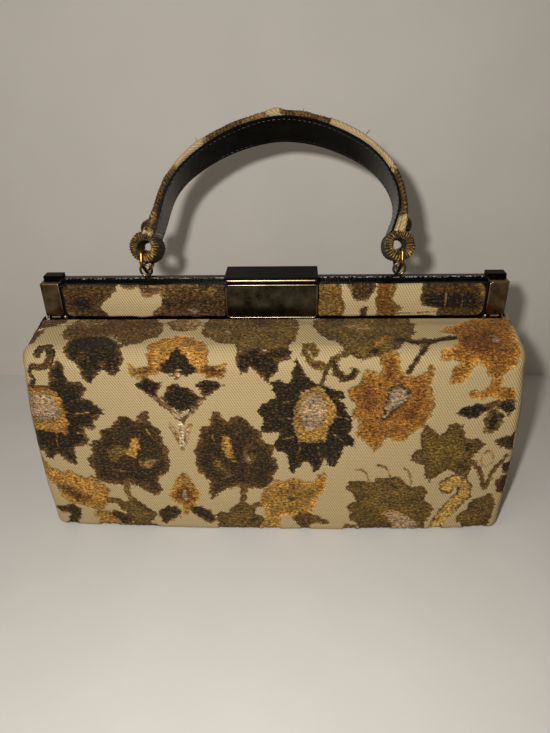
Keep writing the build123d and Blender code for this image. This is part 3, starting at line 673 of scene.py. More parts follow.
class Finish(Enum):
    """What the bag and its studio are made of."""

    TAPESTRY = CutVelvetTapestry()
    LEATHER = GrainLeather()
    # pale grey patches on black: painted highlight, a broken line of light along the piping
    EDGE = GrainLeather("leather_edge_painted_highlight", "0C0A08", "B4B2AC", 0.5, 1.5, 1.0, 0.15)
    # the clasp plate's very dark metal is partly painted dark reflection; its darker patches are tarnish
    DARK_BRASS = AgedMetal("clasp_brass_tarnish_and_painted_dark_reflection", "4A4233", "1E1A13", 0.14)
    CAP_BRASS = AgedMetal("worn_cap_brass", "7A664B", "3E3020", 0.18)
    # painted dark reflection: the lid and rear caps are near-black and hardly reflect, standing in for the
    # dark surroundings their brass reflects
    LID_BRASS = AgedMetal(
        "lid_brass_painted_dark_reflection", "0B0906", "060503", 0.2, pits=0.0, metallic=0.0, specular=0.03
    )
    # paler brass for the beads: rubbed metal, and painted highlight on the edges
    LIP_BRASS = AgedMetal("rubbed_brass_painted_highlight", "A8946C", "75613F", 0.25, pits=0.1)
    GOLD_WIRE = AgedMetal("drawn_gold_brass_wire", "A8762E", "74491A", 0.28, 5.0, pits=0.1)
    EYELET_BRASS = AgedMetal("tarnished_brass_wire", "7A6543", "4A3B24", 0.25, 4.0)
    PIN_BRASS = AgedMetal("plain_brass", "A8874A", "6E5529", 0.3)
    STEEL = AgedMetal("rolled_steel", "8F8F8C", "6A6864", 0.35, pits=0.1)
    LINING = PlainCloth("rayon_satin_lining", "7A6448", "5C4A33", 0.6, 0.45)
    BOARD = PlainCloth("pressed_fibreboard", "8C7350", "6E593B", 1.2, 0.9)
    THREAD = PlainCloth("waxed_black_thread", "2C2A26", "191713", 0.4, 0.3)
    LOOSE_YARN = PlainCloth("loose_rayon_yarn", "A88755", "6B4E28", 0.5, 0.8)
    FLOOR = MattPaper("matt_paper_floor", "C9C4BB", "D2CDC4")
    WALL = MattPaper("matt_paper_wall", "C2BAAE", "CCC4B8", one_sided=True)

    @property
    def material(self) -> bpy.types.Material:
        """The finish's material, built when it is first asked for."""
        return bpy.data.materials.get(self.value.name) or self.value.build()


def mesh_object(name: str, points: Array, faces: Sequence[Sequence[int]], finish: Finish) -> Piece:
    """Make a smooth-shaded mesh object.

    Args:
        name: the piece's name.
        points: its points in millimetres, one row each.
        faces: indices of each face's points.
        finish: its finish.

    Returns:
        The new object, at the origin.
    """
    mesh = bpy.data.meshes.new(name)
    mesh.from_pydata((np.asarray(points) * MM).tolist(), [], faces)
    mesh.polygons.foreach_set("use_smooth", [True] * len(mesh.polygons))
    mesh.materials.append(finish.material)
    mesh.update()
    piece = bpy.data.objects.new(name, mesh)
    bpy.context.scene.collection.objects.link(piece)
    return piece


def grid_faces(
    rows: int, columns: int, closed: bool = False, start: int = 0
) -> list[tuple[int, int, int, int]]:
    """Return the faces of a grid of points from a start, its columns closed into a ring if asked."""
    i, j = np.meshgrid(np.arange(rows - 1), np.arange(columns if closed else columns - 1), indexing="ij")
    k = (j + 1) % columns
    quads = np.stack([i * columns + j, i * columns + k, (i + 1) * columns + k, (i + 1) * columns + j], -1)
    return [tuple(q) for q in (quads + start).reshape(-1, 4).tolist()]


def surface_normals(points: Array, closed: bool = False) -> Array:
    """Return unit normals of a grid of points, shaped rows by columns by three."""
    down = np.gradient(points, axis=0)
    if closed:
        across = (np.roll(points, -1, 1) - np.roll(points, 1, 1)) / 2
    else:
        across = np.gradient(points, axis=1)
    normal = np.cross(across, down)
    return normal / np.maximum(np.linalg.norm(normal, axis=-1, keepdims=True), 1e-9)


@dataclass(frozen=True)
class TapestrySheet:
    """A piece of tapestry laid on a grid of points, its pile standing off along the surface."""

    name: str
    pile_mm: float = 1.0
    pucker_mm: float = 0.35
    fuzz_mm: float = 0.28

    def build(
        self, points: Array, cloth: Array, weave: Weave, calm: Array, seed: int, closed: bool = False
    ) -> Piece:
        """Make the sheet.

        Args:
            points: the cloth's ground, rows by columns by three, in millimetres.
            cloth: s and t at each point.
            weave: the pattern at each point.
            calm: 1 where the pile stands at full height, 0 where it is flattened.
            seed: number of the noise.
            closed: whether the columns close into a ring.

        Returns:
            The piece.
        """
        s, t = cloth[..., 0], cloth[..., 1]
        inside = ease(weave.cover, -0.4, 1.1)
        rng = np.random.default_rng(seed)
        fuzz = rng.uniform(-1, 1, s.shape) * self.fuzz_mm * inside
        uneven = 0.85 + 0.25 * cloud(s, t, 3.0, seed + 1)
        rise = self.pile_mm * inside * (0.25 + 0.75 * weave.proud) * uneven
        pucker = self.pucker_mm * cloud(s, t, 16.0, seed + 2)
        lifted = points + surface_normals(points, closed) * ((rise + fuzz + pucker) * calm)[..., None]
        lifted[..., 2] = np.maximum(lifted[..., 2], 0.0)
        rows, columns = s.shape
        faces = grid_faces(rows, columns, closed)
        piece = mesh_object(self.name, lifted.reshape(-1, 3), faces, Finish.TAPESTRY)
        mesh = piece.data
        corner = np.empty(len(mesh.loops), np.int32)
        mesh.loops.foreach_get("vertex_index", corner)
        plan = cloth.reshape(-1, 2)[corner]
        if closed:
            plan = self._unwrapped(plan, float(s.max() - s.min()))
        mesh.uv_layers.new(name="cloth").data.foreach_set("uv", plan.astype(np.float32).ravel())
        speckle = rng.uniform(0.6, 1.4, s.shape)[..., None]
        colours = np.clip(weave.colour * speckle, 0, 1).reshape(-1, 3)
        colours = np.hstack([colours, np.ones((len(colours), 1))]).astype(np.float32)
        mesh.attributes.new("yarn", "FLOAT_COLOR", "POINT").data.foreach_set("color", colours.ravel())
        for label, values in (("cover", weave.cover), ("proud", weave.proud)):
            layer = mesh.attributes.new(label, "FLOAT", "POINT")
            layer.data.foreach_set("value", values.astype(np.float32).ravel())
        return piece

    def _unwrapped(self, plan: Array, span: float) -> Array:
        """Return face corners whose s doesn't jump back at the ring's closing column."""
        quads = plan.reshape(-1, 4, 2).copy()
        high = quads[..., 0].max(1, keepdims=True)
        jump = (high - quads[..., 0]) > span / 2
        quads[..., 0] += jump * span * 1.01
        return quads.reshape(-1, 2)


@dataclass(frozen=True)
class SideProfile:
    """The bag seen from its end: flat top, rounded shoulder, upright front and rounded base."""

    half_depth: float = 48.0
    edge_y: float = 7.4
    mouth_z: float = 143.0
    shoulder_z: float = 137.5
    shoulder_radius: float = 13.0
    base_radius: float = 6.5

    @property
    def fall(self) -> float:
        """Slope of the top, in radians."""
        return math.atan2(self.mouth_z - self.shoulder_z, self.half_depth - self.edge_y)

    @property
    def turn(self) -> float:
        """Angle that the shoulder turns through."""
        return math.pi / 2 - self.fall

    @property
    def lengths(self) -> tuple[float, float, float, float]:
        """Lengths of the top, the shoulder, the front and the base's rounding."""
        tangent = self.shoulder_radius * math.tan(self.turn / 2)
        top = math.hypot(self.half_depth - self.edge_y, self.mouth_z - self.shoulder_z) - tangent
        front = self.shoulder_z - tangent - self.base_radius
        return top, self.shoulder_radius * self.turn, front, self.base_radius * math.pi / 2

    @property
    def front_length(self) -> float:
        """Length of cloth from the frame's edge to the flat of the base."""
        return sum(self.lengths)

    @property
    def whole_length(self) -> float:
        """Length of cloth from the front of the frame round the base to its back."""
        return 2 * (self.front_length + self.half_depth - self.base_radius)

    def front_point(self, t: Array) -> tuple[Array, Array, Array, Array]:
        """Return y, z and the outward normal's y and z at lengths t down the front."""
        top, arc, front, _ = self.lengths
        along = np.clip(t, 0, top)
        y = -self.edge_y - along * math.cos(self.fall)
        z = self.mouth_z - along * math.sin(self.fall)
        a = np.clip(t - top, 0, arc) / self.shoulder_radius
        start = math.pi / 2 + self.fall
        y += self.shoulder_radius * (np.cos(start + a) - math.cos(start))
        z += self.shoulder_radius * (np.sin(start + a) - math.sin(start))
        z -= np.clip(t - top - arc, 0, front)
        b = np.clip(t - top - arc - front, 0, self.base_radius * math.pi / 2) / self.base_radius
        y += self.base_radius * (1 - np.cos(b))
        z -= self.base_radius * np.sin(b)
        y += np.maximum(t - self.front_length, 0)
        angle = start + a + b
        return y, z, np.cos(angle), np.sin(angle)

    def point(self, t: Array) -> tuple[Array, Array, Array, Array]:
        """Return y, z and the normal at lengths t all round, from the front of the frame to its back."""
        half = self.whole_length / 2
        y, z, ny, nz = self.front_point(np.where(t < half, t, 2 * half - t))
        side = np.where(t < half, 1.0, -1.0)
        return y * side, z, ny * side, nz


@dataclass(frozen=True)
class BagBody:
    """The sewn tapestry body: front, base and back in one wrap, and a gusset at each end."""

    profile: SideProfile = SideProfile()
    base_half: float = 153.8
    top_half: float = 147.2
    frame_z: float = 144.3
    end_radius: float = 6.0
    puff: Points = (                # how far the ends stand out at each height
        (0, 0), (20, 0.5), (35, 1.8), (60, 2.4), (95, 3.3), (112, 2.8), (126, 2.2), (135, 3.6), (143, 6.0),
    )
    end_swell: float = 2.0          # bulge of the ends at mid height
    belly: float = 4.0              # bulge of the front and back, low down
    fold_start_y: float = -31.4     # where the cloth starts to follow the front half
    fold_end_y: float = -8.5
    front_step: float = 0.8
    back_step: float = 1.05
    notch_z: float = 131.0          # lowest point of the gusset beside the front half
    belly_z: float = 22.0
    belly_reach: float = 110.0
    gusset_sway: float = 1.4        # hollow of the ends between their seams
    gap_depth: float = 1.5          # dip of the cloth beside the frame

    def end_x(self, z: Array) -> Array:
        """Return the distance of the gusset from the middle at a height."""
        high = np.clip(z / self.frame_z, 0, 1)
        puff = self.end_swell * np.sin(math.pi * high) + np.interp(z, *zip(*self.puff))
        return self.base_half - (self.base_half - self.top_half) * high + puff

    def wrap(self, t: Array, columns: int) -> tuple[Array, Array]:
        """Return the ground points and cloth coordinates of the wrap at lengths t."""
        y, z, ny, nz = (v[:, None] for v in self.profile.point(t))
        flat = self.end_x(z) - self.end_radius
        half_arc = flat + self.end_radius * math.pi / 2
        s = np.linspace(-1, 1, columns)[None, :] * half_arc
        phi = np.clip(np.abs(s) - flat, 0, None) / self.end_radius
        x = np.sign(s) * (np.minimum(np.abs(s), flat) + self.end_radius * np.sin(phi))
        inset = self.end_radius * (1 - np.cos(phi))
        level = np.clip(1 - np.abs(z - self.belly_z) / self.belly_reach, 0, 1)
        swell = (1.0 + self.belly * level * level * (3 - 2 * level)) * np.abs(ny)
        crown = swell * np.cos(np.clip(x / self.base_half, -1, 1) * math.pi / 2) ** 0.5
        points = np.stack([x + 0 * y, y + ny * (crown - inset), z + nz * (crown - inset)], -1)
        return points, np.stack([s, t[:, None] + 0 * s], -1)

    def settle(self, points: Array, distance: Array) -> Array:
        """Lower the cloth beside the frame, where it tucks in under the padded panels."""
        points = points.copy()
        points[..., 2] -= self.gap_depth * (1 - ease(distance, 2.0, 11.0))[:, None]
        return points

    def build_front(self, pattern: ClothPattern) -> Piece:
        """Make the front panel, which follows the front half of the frame at its top edge."""
        rows = int(self.profile.front_length / self.front_step)
        t = np.linspace(0, self.profile.front_length, rows)
        points, cloth = self.wrap(t, int(2 * self.base_half / self.front_step))
        points = self.settle(points, t)
        weave = pattern.weave(cloth[..., 0], cloth[..., 1], 11)
        calm = np.tile(ease(t, 1.0, 8.0)[:, None], (1, cloth.shape[1]))
        piece = TapestrySheet("tapestry_front").build(points, cloth, weave, calm, 21)
        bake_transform(piece)
        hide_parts("tapestry_body", "front_shoulder")
        return piece

    def build_back(self, pattern: ClothPattern) -> Piece:
        """Make the base and the back; the pattern runs up the back as it does on the front."""
        start, end = self.profile.front_length, self.profile.whole_length
        t = np.linspace(start, end, int((end - start) / self.back_step))
        points, cloth = self.wrap(t, int(2 * self.base_half / self.back_step))
        points = self.settle(points, end - t)
        front_half = (t < end / 2)[:, None]
        s = np.where(front_half, cloth[..., 0], -cloth[..., 0])
        down = np.where(front_half, 2 * start - cloth[..., 1], end - cloth[..., 1])
        down = np.where(down > start, 2 * start - down, down)
        weave = pattern.weave(s, down, 12)
        pressed = 1 - 0.8 * (np.abs(t - end / 2) < self.profile.half_depth - self.profile.base_radius)
        calm = (pressed * ease(end - t, 1.0, 8.0))[:, None] * np.ones(s.shape)
        piece = TapestrySheet("tapestry_back").build(points, cloth, weave, calm, 22)
        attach(piece, "root")
        return piece

    def top_at(self, y: Array) -> Array:
        """Return the height of the gusset's upper edge at a depth."""
        t = np.linspace(0, self.profile.front_length / 2, 400)
        py, pz, ny, nz = self.profile.front_point(t)
        inset_y, inset_z = py - ny * self.end_radius, pz - nz * self.end_radius
        return np.interp(-np.abs(y), inset_y[::-1], inset_z[::-1])

    def build_gusset(self, end: int, pattern: ClothPattern) -> list[Piece]:
        """Make one gusset, its folding corner beside the front half and the seam round it."""
        hand = "left" if end < 0 else "right"
        low, reach = self.end_radius, self.profile.half_depth - self.end_radius
        y = np.linspace(-reach, reach, int(2 * reach))
        notch = ease(y, self.fold_start_y, self.fold_start_y + 4) * (1 - ease(y, 1.0, 5.0))
        top = self.top_at(y) * (1 - notch) + np.minimum(self.notch_z, self.top_at(y)) * notch
        k = np.linspace(0, 1, int(self.frame_z - low))[:, None]
        z = top[None, :] * (1 - k) + low * k
        panel = self._panel(f"gusset_{hand}", end, y[None, :] + 0 * z, z, 0.3, pattern, 31 + end)
        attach(panel, "root")
        fold_y = np.linspace(self.fold_start_y, -1.5, 31)
        fold_top = self.top_at(fold_y) + self.end_radius - 1.2
        k = np.linspace(0, 1, 24)[:, None]
        z = fold_top[None, :] * (1 - k) + (self.notch_z - 5) * k
        fold = self._panel(f"gusset_fold_{hand}", end, fold_y[None, :] + 0 * z, z, 2.2, pattern, 41 + end)
        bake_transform(fold)
        seam = self._seam(f"gusset_seam_{hand}", end)
        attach(seam, "root")
        return [panel, fold, seam]

    def _panel(
        self, name: str, end: int, y: Array, z: Array, inboard: float, pattern: ClothPattern, seed: int
    ) -> Piece:
        """Make one upright sheet of the gusset, its pattern mirrored at the bag's edge."""
        hollow = np.cos(y / self.profile.half_depth * math.pi / 2)
        sway = self.gusset_sway * hollow * np.sin(np.clip(z / self.frame_z, 0, 1) * math.pi)
        x = end * (self.end_x(z) - inboard - sway)
        s = end * (self.base_half - (y + self.profile.half_depth))
        t = self.profile.front_length - z - self.profile.base_radius
        points = np.stack([x, y, z], -1)
        if end < 0:
            points, s, t = points[:, ::-1], s[:, ::-1], t[:, ::-1]
        weave = pattern.weave(s, t, seed)
        return TapestrySheet(name).build(points, np.stack([s, t], -1), weave, np.ones(s.shape), seed)

    def _seam(self, name: str, end: int) -> Piece:
        """Make the ridge of the seam between the wrap and the gusset."""
        t = np.linspace(self.profile.edge_y + 18, self.profile.whole_length - 12, 420)
        y, z, ny, nz = self.profile.point(t)
        x = end * (self.end_x(z) + 0.1)
        path = np.stack([x, y - ny * self.end_radius, z - nz * self.end_radius], -1)
        return tube(name, path, 0.7, Finish.LOOSE_YARN)

    def build(self, pattern: ClothPattern) -> list[Piece]:
        """Make the whole body."""
        pieces = [self.build_front(pattern), self.build_back(pattern)]
        for end in (-1, 1):
            pieces += self.build_gusset(end, pattern)
        pieces.append(self.build_fold_lining())
        return pieces

    def build_fold_lining(self) -> Piece:
        """Make the lining of the strip that folds as the front half opens."""
        t = np.linspace(0.5, 24.5, 22)
        y, z, ny, nz = (v[:, None] for v in self.profile.front_point(t))
        x = np.linspace(-1, 1, 120)[None, :] * (self.end_x(z) - 5.0)
        points = np.stack([x, y - ny * 3.4 + 0 * x, z - nz * 3.4 + 0 * x], -1)
        points = self.settle(points, t)
        faces = grid_faces(len(t), x.shape[1])
        piece = mesh_object("front_fold_lining", points.reshape(-1, 3), faces, Finish.LINING)
        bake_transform(piece)
        return piece


def tube(
    name: str, path: Array, radius: float, finish: Finish, sides: int = 8, closed: bool = False
) -> Piece:
    """Make a round bead along a path, in millimetres."""
    along = (np.roll(path, -1, 0) - np.roll(path, 1, 0)) if closed else np.gradient(path, axis=0)
    along /= np.maximum(np.linalg.norm(along, axis=1, keepdims=True), 1e-9)
    helper = np.where(np.abs(along[:, 2:3]) < 0.9, np.array([[0.0, 0.0, 1.0]]), np.array([[1.0, 0.0, 0.0]]))
    first = np.cross(along, helper)
    first /= np.linalg.norm(first, axis=1, keepdims=True)
    second = np.cross(along, first)
    angle = np.linspace(0, 2 * math.pi, sides, endpoint=False)
    ring = first[:, None] * np.cos(angle)[None, :, None] + second[:, None] * np.sin(angle)[None, :, None]
    points = path[:, None] + ring * radius
    rows = len(path)
    faces = grid_faces(rows, sides, True)
    if closed:
        last = (rows - 1) * sides
        faces += [(last + j, last + (j + 1) % sides, (j + 1) % sides, j) for j in range(sides)]
    else:
        faces += [tuple(range(sides))[::-1], tuple(range((rows - 1) * sides, rows * sides))]
    return mesh_object(name, points.reshape(-1, 3), faces, finish)


def pad_figures() -> dict[str, list[Figure]]:
    """Return the figures of the padded panels; s is across the bag and t is down from the panel's top."""
    brown, olive, dark, night, tan, gold = Yarn.BROWN, Yarn.OLIVE, Yarn.DARK, Yarn.NIGHT, Yarn.TAN, Yarn.GOLD
    left = [
        Patch("-140,-4 -96,-4 -98,3 -103,7 -108,11 -110,15 -106,19 -104,27 -140,27", brown, olive, 4),
        Patch("-131,8 -124,6 -116,7 -113,13 -117,18 -125,18 -131,15", night, brown, 3),
        Patch("-90,-4 -84,2 -82,7 -78,8 -74,5 -70,4 -69,9 -71,14 -76,18 -79,27 -25,27 "
              "-25,-4", brown, tan, 4),
        Patch("-96,-4 -96,1 -90,2 -80,1 -70,2 -55,1 -46,2 -46,-4", brown, tan, 2),
        Patch("-70,9 -60,8 -54,6 -46,8 -48,13 -58,15 -68,16", dark, brown, 3),
        Patch("-56,8 -48,7 -47,13 -54,13", night, brown, 2),
        Patch("-44,8 -39,9 -40,13 -45,13", night, brown, 2),
        Stem("-127,4 -112,4 -98,3.5", 0.7, tan, olive, 0.6, 0.8),
        Stem("-70,3 -56,2.5 -45,3", 0.7, tan, olive, 0.6, 0.8),
        Stem("-57,19.5 -46,19.5", 0.7, tan, olive, 0.6, 0.8),
        Patch("-44,3 -38,0 -33,3 -38,9 -42,7", tan, olive, 1.2, 0.3),
        Patch("-57,15 -49,13 -44,17 -50,21", Yarn.MAUVE, brown, 3, 0.6),
        Patch("-134,17 -128,19 -126,27 -138,27", tan, olive, 3),
    ]
    right = [
        Patch("25,-4 43,-4 44,8 46,15 43,27 25,27", gold, Yarn.RUST, 3),
        Patch("45,-4 50,3 51,9 55,11 61,10 64,5 66,-4", brown, tan, 2.5),
        Patch("56,15 60,15 61,27 55,27", brown, olive, 1.5),
        Patch("67,-4 79,-4 77,5 75,10 79,14 84,16 79,19 78,27 66,27 67,16 65,12", Yarn.RUST, gold, 3),
        Patch("93,-4 94,5 92,10 95,14 104,16 105,27 140,27 140,-4", brown, olive, 4),
        Patch("95,6 127,5 129,16 106,16 97,13", night, dark, 3),
        Patch("126,-4 140,-4 140,27 127,27 131,14", gold, brown, 3),
        Stem("78,19.5 92,19 104,18", 0.7, tan, olive, 0.6, 0.8),
        Stem("109,6 109,17", 1.1, tan, olive, 0.8, 0.5),
        Stem("119,7 119,17", 1.1, tan, olive, 0.8, 0.5),
    ]
    rear = [replace(f, outline=mirrored(f.outline, 0)) for f in left + right if isinstance(f, Patch)]
    rear.append(Patch("-34,3 -22,-4 22,-4 34,4 30,20 14,27 -16,27 -30,19", olive, brown, 4))
    return {"front_pad_left": left, "front_pad_right": right, "rear_pad": rear}


@dataclass(frozen=True)
class FramePads:
    """The padded tapestry panels on the frame's faces."""

    corner: float = 5.0
    clasp_corner: float = 1.5       # beside the clasp plate
    edge_round: float = 2.4
    step: float = 0.6
    shade: float = 0.58             # the pile here lies flat and looks darker

    def build(self) -> list[Piece]:
        """Make a crowned panel over each CAD pad."""
        return [
            self._pad(node, figures, seed) for seed, (node, figures) in enumerate(pad_figures().items(), 50)
        ]

    def _pad(self, node: str, figures: list[Figure], seed: int) -> Piece:
        """Make one panel in the space of its CAD pad."""
        low, high = (np.array(c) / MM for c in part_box(node))
        side = 1 if node.startswith("rear") else -1
        x = np.linspace(low[0], high[0], int((high[0] - low[0]) / self.step))[None, :]
        z = np.linspace(high[2], low[2], int((high[2] - low[2]) / self.step))[:, None]
        x, z = x + 0 * z, z + 0 * x
        left = self.corner if node != "front_pad_right" else self.clasp_corner
        right = self.corner if node != "front_pad_left" else self.clasp_corner
        rounded = np.full(x.shape, np.inf)
        for radius, edge, sign in ((left, low[0], 1), (right, high[0], -1)):
            for level, way in ((high[2], -1), (low[2], 1)):
                cx, cz = edge + sign * radius, level + way * radius
                dx, dz = (cx - x) * sign, (cz - z) * way
                out = (dx > 0) & (dz > 0)
                reach = np.maximum(dx, dz)
                scale = np.where(out, reach / np.maximum(np.hypot(dx, dz), 1e-6), 1.0)
                x = np.where(out, cx - sign * dx * scale, x)
                z = np.where(out, cz - way * dz * scale, z)
                rounded = np.where(out, radius - reach, rounded)
        middle, half = (low + high) / 2, (high - low) / 2
        gap = np.minimum(half[0] - np.abs(x - middle[0]), half[2] - np.abs(z - middle[2]))
        gap = np.minimum(gap, rounded)
        soft = 1 - ease(gap, 0, 5)
        x = x + 0.5 * soft * cloud(x, z, 6.0, seed + 7)
        z = z + 0.55 * soft * cloud(x, z, 7.0, seed + 8)
        k = np.clip(gap / self.edge_round, 0, 1)
        thick = (high[1] - low[1]) * (0.72 * np.sqrt(1 - (1 - k) ** 2) + 0.28 * ease(gap, 0, half[2]))
        back = high[1] if side < 0 else low[1]
        y = back + side * thick
        points = np.stack([x, y, z], -1)
        s, t = x.copy(), high[2] - z
        if side > 0:
            points, s, t = points[:, ::-1], -s[:, ::-1], t[:, ::-1]
        weave = ClothPattern(figures, 0.7).weave(s, t, seed)
        weave = Weave(weave.cover, weave.colour * self.shade, weave.proud)
        calm = ease(gap if side < 0 else gap[:, ::-1], 0.0, 2.0)
        piece = TapestrySheet(node + "_cloth", 0.9, 0.4, 0.3).build(
            points, np.stack([s, t], -1), weave, calm, seed
        )
        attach(piece, "root" if side > 0 else "front_frame")
        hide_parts(node)
        return piece


@dataclass(frozen=True)
class Handle:
    """The arched strap: tapestry rolled over a core, with a loop at each end and a leather lining."""

    eyelet_y: float = 3.3
    eyelet_z: float = 171.4
    lean_low: float = 22.0
    lean_high: float = 48.7
    rise: float = 99.0
    loop_height: float = 14.0
    loop_half_spacing: float = 79.0
    loop_radius: float = 8.6
    loop_wall: float = 4.6
    width: float = 26.5
    thickness: float = 4.3
    end_thickness: float = 6.6
    doubled_low: float = 26.6
    doubled_high: float = 40.0
    rib_mm: float = 2.3
    layer_gap: float = 0.2
    lining: float = 1.2
    lining_margin: float = 1.4
    stitch_inset: float = 1.9
    rim: float = 3.5                # width of the ribbed rims of the loops
    loop_ribs: int = 30
    strap_step: float = 0.75        # between the rows of points along the strap
    stitch_pitch: float = 3.4
    stitch_length: float = 2.3
    stitch_radius: float = 0.28
    dome_radius: float = 5.4
    dome_rise: float = 4.6
    dome_sides: int = 28
    studs: tuple[tuple[float, float, int, str], ...] = ((-76.0, 26.0, -1, "left"), (81.0, 27.0, 1, "right"))
    arch: Points = (
        (-78.2, 20.2), (-76.0, 26.0), (-71.3, 36.0), (-66.0, 50.0), (-55.0, 65.5), (-37.5, 79.5),
        (-14.0, 90.8), (6.0, 94.8), (28.5, 91.4), (52.0, 80.5), (69.0, 66.5), (78.8, 50.0),
        (81.6, 36.0), (81.0, 27.0), (78.8, 20.2),
    )

    def lean(self, height: Array) -> Array:
        """Return the lean in radians at a height along the handle."""
        per_mm = (self.lean_high - self.lean_low) / (self.rise - self.loop_height)
        return np.radians(self.lean_low + per_mm * np.maximum(0, height - self.loop_height))

    def place(self, x: Array, height: Array, across: Array) -> Array:
        """Return points of the flat arch on the leaning curve, with their distance across the strap."""
        per_mm = math.radians((self.lean_high - self.lean_low) / (self.rise - self.loop_height))
        start, angle = math.radians(self.lean_low), self.lean(height)
        straight = np.minimum(height, self.loop_height)
        y = self.eyelet_y + straight * math.sin(start) + (math.cos(start) - np.cos(angle)) / per_mm
        z = self.eyelet_z + straight * math.cos(start) + (np.sin(angle) - math.sin(start)) / per_mm
        return np.stack(np.broadcast_arrays(x, y + across * np.cos(angle), z - across * np.sin(angle)), -1)

    def middle_line(self, step: float) -> tuple[Array, Array, Array, Array]:
        """Return x, height, outward direction's x and height along the arch, evenly spaced."""
        knots = np.array(self.arch)
        knots = np.vstack([2 * knots[0] - knots[1], knots, 2 * knots[-1] - knots[-2]])
        fine = []
        for p0, p1, p2, p3 in zip(knots[:-3], knots[1:-2], knots[2:-1], knots[3:]):
            for u in np.linspace(0, 1, 40, endpoint=False):
                bend, twist = 2 * p0 - 5 * p1 + 4 * p2 - p3, 3 * p1 - p0 - 3 * p2 + p3
                fine.append(0.5 * (2 * p1 + (p2 - p0) * u + bend * u**2 + twist * u**3))
        fine = np.array(fine + [knots[-2]])
        length = np.concatenate([[0], np.cumsum(np.linalg.norm(np.diff(fine, axis=0), axis=1))])
        even = np.arange(0, length[-1], step)
        x, h = np.interp(even, length, fine[:, 0]), np.interp(even, length, fine[:, 1])
        dx, dh = np.gradient(x), np.gradient(h)
        size = np.hypot(dx, dh)
        return x, h, -dh / size, dx / size

    def doubling(self, height: Array) -> Array:
        """Return how far the strap is doubled at each height, from 0 to 1."""
        return np.clip((self.doubled_high - height) / (self.doubled_high - self.doubled_low), 0, 1)

    def inner_face(self, doubled: Array) -> Array:
        """Return the level of the strap's inner face, from its middle line."""
        return -self.thickness / 2 - (self.end_thickness - self.thickness) * doubled

    def build_strap(self) -> Piece:
        """Make the tapestry strap with its rolled edges and the groove of its doubled ends."""
        x, h, ox, oh = self.middle_line(self.strap_step)
        doubled = self.doubling(h)
        inner = self.inner_face(doubled)
        outer = np.full(x.shape, self.thickness / 2)
        angle = np.linspace(0, 2 * math.pi, 72, endpoint=False)
        cosine, sine = np.cos(angle), np.sin(angle)
        across = flattened(cosine, 0.42) * self.width / 2
        level = flattened(sine, 0.8)
        mid, half = (inner + outer) / 2, (outer - inner) / 2
        rolled = 0.55 * np.exp(-(((np.abs(across) - self.width / 2 + 2.2) / 2.0) ** 2))
        along = np.arange(len(x))[:, None] * self.strap_step
        radial = mid[:, None] + (half[:, None] + rolled[None, :] * (level[None, :] > 0)) * level[None, :]
        side = np.abs(across)[None, :] > self.width / 2 - 2
        groove = doubled[:, None] * np.exp(-((level[None, :] / 0.28) ** 2)) * side
        wide = across[None, :] * (1 - 0.2 * groove)
        kink = 1.6 * np.exp(-(((x[:, None] - 3.0) / 4.0) ** 2)) * (level[None, :] > 0)
        ribs = 0.22 * np.sin(2 * math.pi * along / self.rib_mm + 1.5 * cloud(along, wide, 6.0, 61))
        radial = radial + (kink + ribs + 0.35 * cloud(along, wide, 9.0, 62)) * np.sign(level)[None, :]
        points = self.place(x[:, None] + ox[:, None] * radial, h[:, None] + oh[:, None] * radial, wide)
        around = np.cumsum(np.hypot(np.gradient(across), np.gradient(level) * 3))[None, :] + 0 * wide
        cloth = np.stack([around, along + 0 * around], -1)
        weave = self._strap_weave(x, h, cloth)
        weave = Weave(weave.cover[:, ::-1], weave.colour[:, ::-1], weave.proud[:, ::-1])
        piece = TapestrySheet("handle_strap_cloth", 0.55, 0.1, 0.22).build(
            points[:, ::-1], cloth[:, ::-1], weave, np.ones(points.shape[:2]), 63, True
        )
        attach(piece, "handle")
        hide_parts("handle_strap")
        return piece

    def _strap_weave(self, x: Array, h: Array, cloth: Array) -> Weave:
        """Return the strap's pattern: brown and gold pile with stretches of bare ground."""
        a, b = cloth[..., 0], cloth[..., 1]
        jag = cloud(a, b, 2.2, 64) * 2.0
        xs, hs = x[:, None] + jag, h[:, None] + jag
        bare = np.minimum(xs + 59, -42 - xs)
        bare = np.maximum(bare, np.minimum(xs + 2, 6 - xs))
        bare = np.maximum(bare, np.minimum(np.minimum(xs - 36, 75 - xs), hs - 50))
        bare = np.maximum(bare, np.where(x[:, None] > 0, 31 - hs, 24 - hs))
        tone = ease(cloud(a, b, 7.0, 65) + 0.5 * cloud(a, b, 2.0, 66), -0.4, 0.6)[..., None]
        rib = 0.5 + 0.5 * np.sin(2 * math.pi * b / self.rib_mm + 1.5 * cloud(b, a, 6.0, 61))
        glow = np.clip(ease(cloud(a, b, 11.0, 67), 0.1, 0.7) * 0.6 + 0.45 * rib, 0, 1)[..., None]
        colour = Yarn.NIGHT.colour * (1 - tone) + Yarn.BROWN.colour * tone
        colour = colour * (1 - glow) + Yarn.TAN.colour * glow
        return Weave(-bare, colour, np.ones(a.shape))

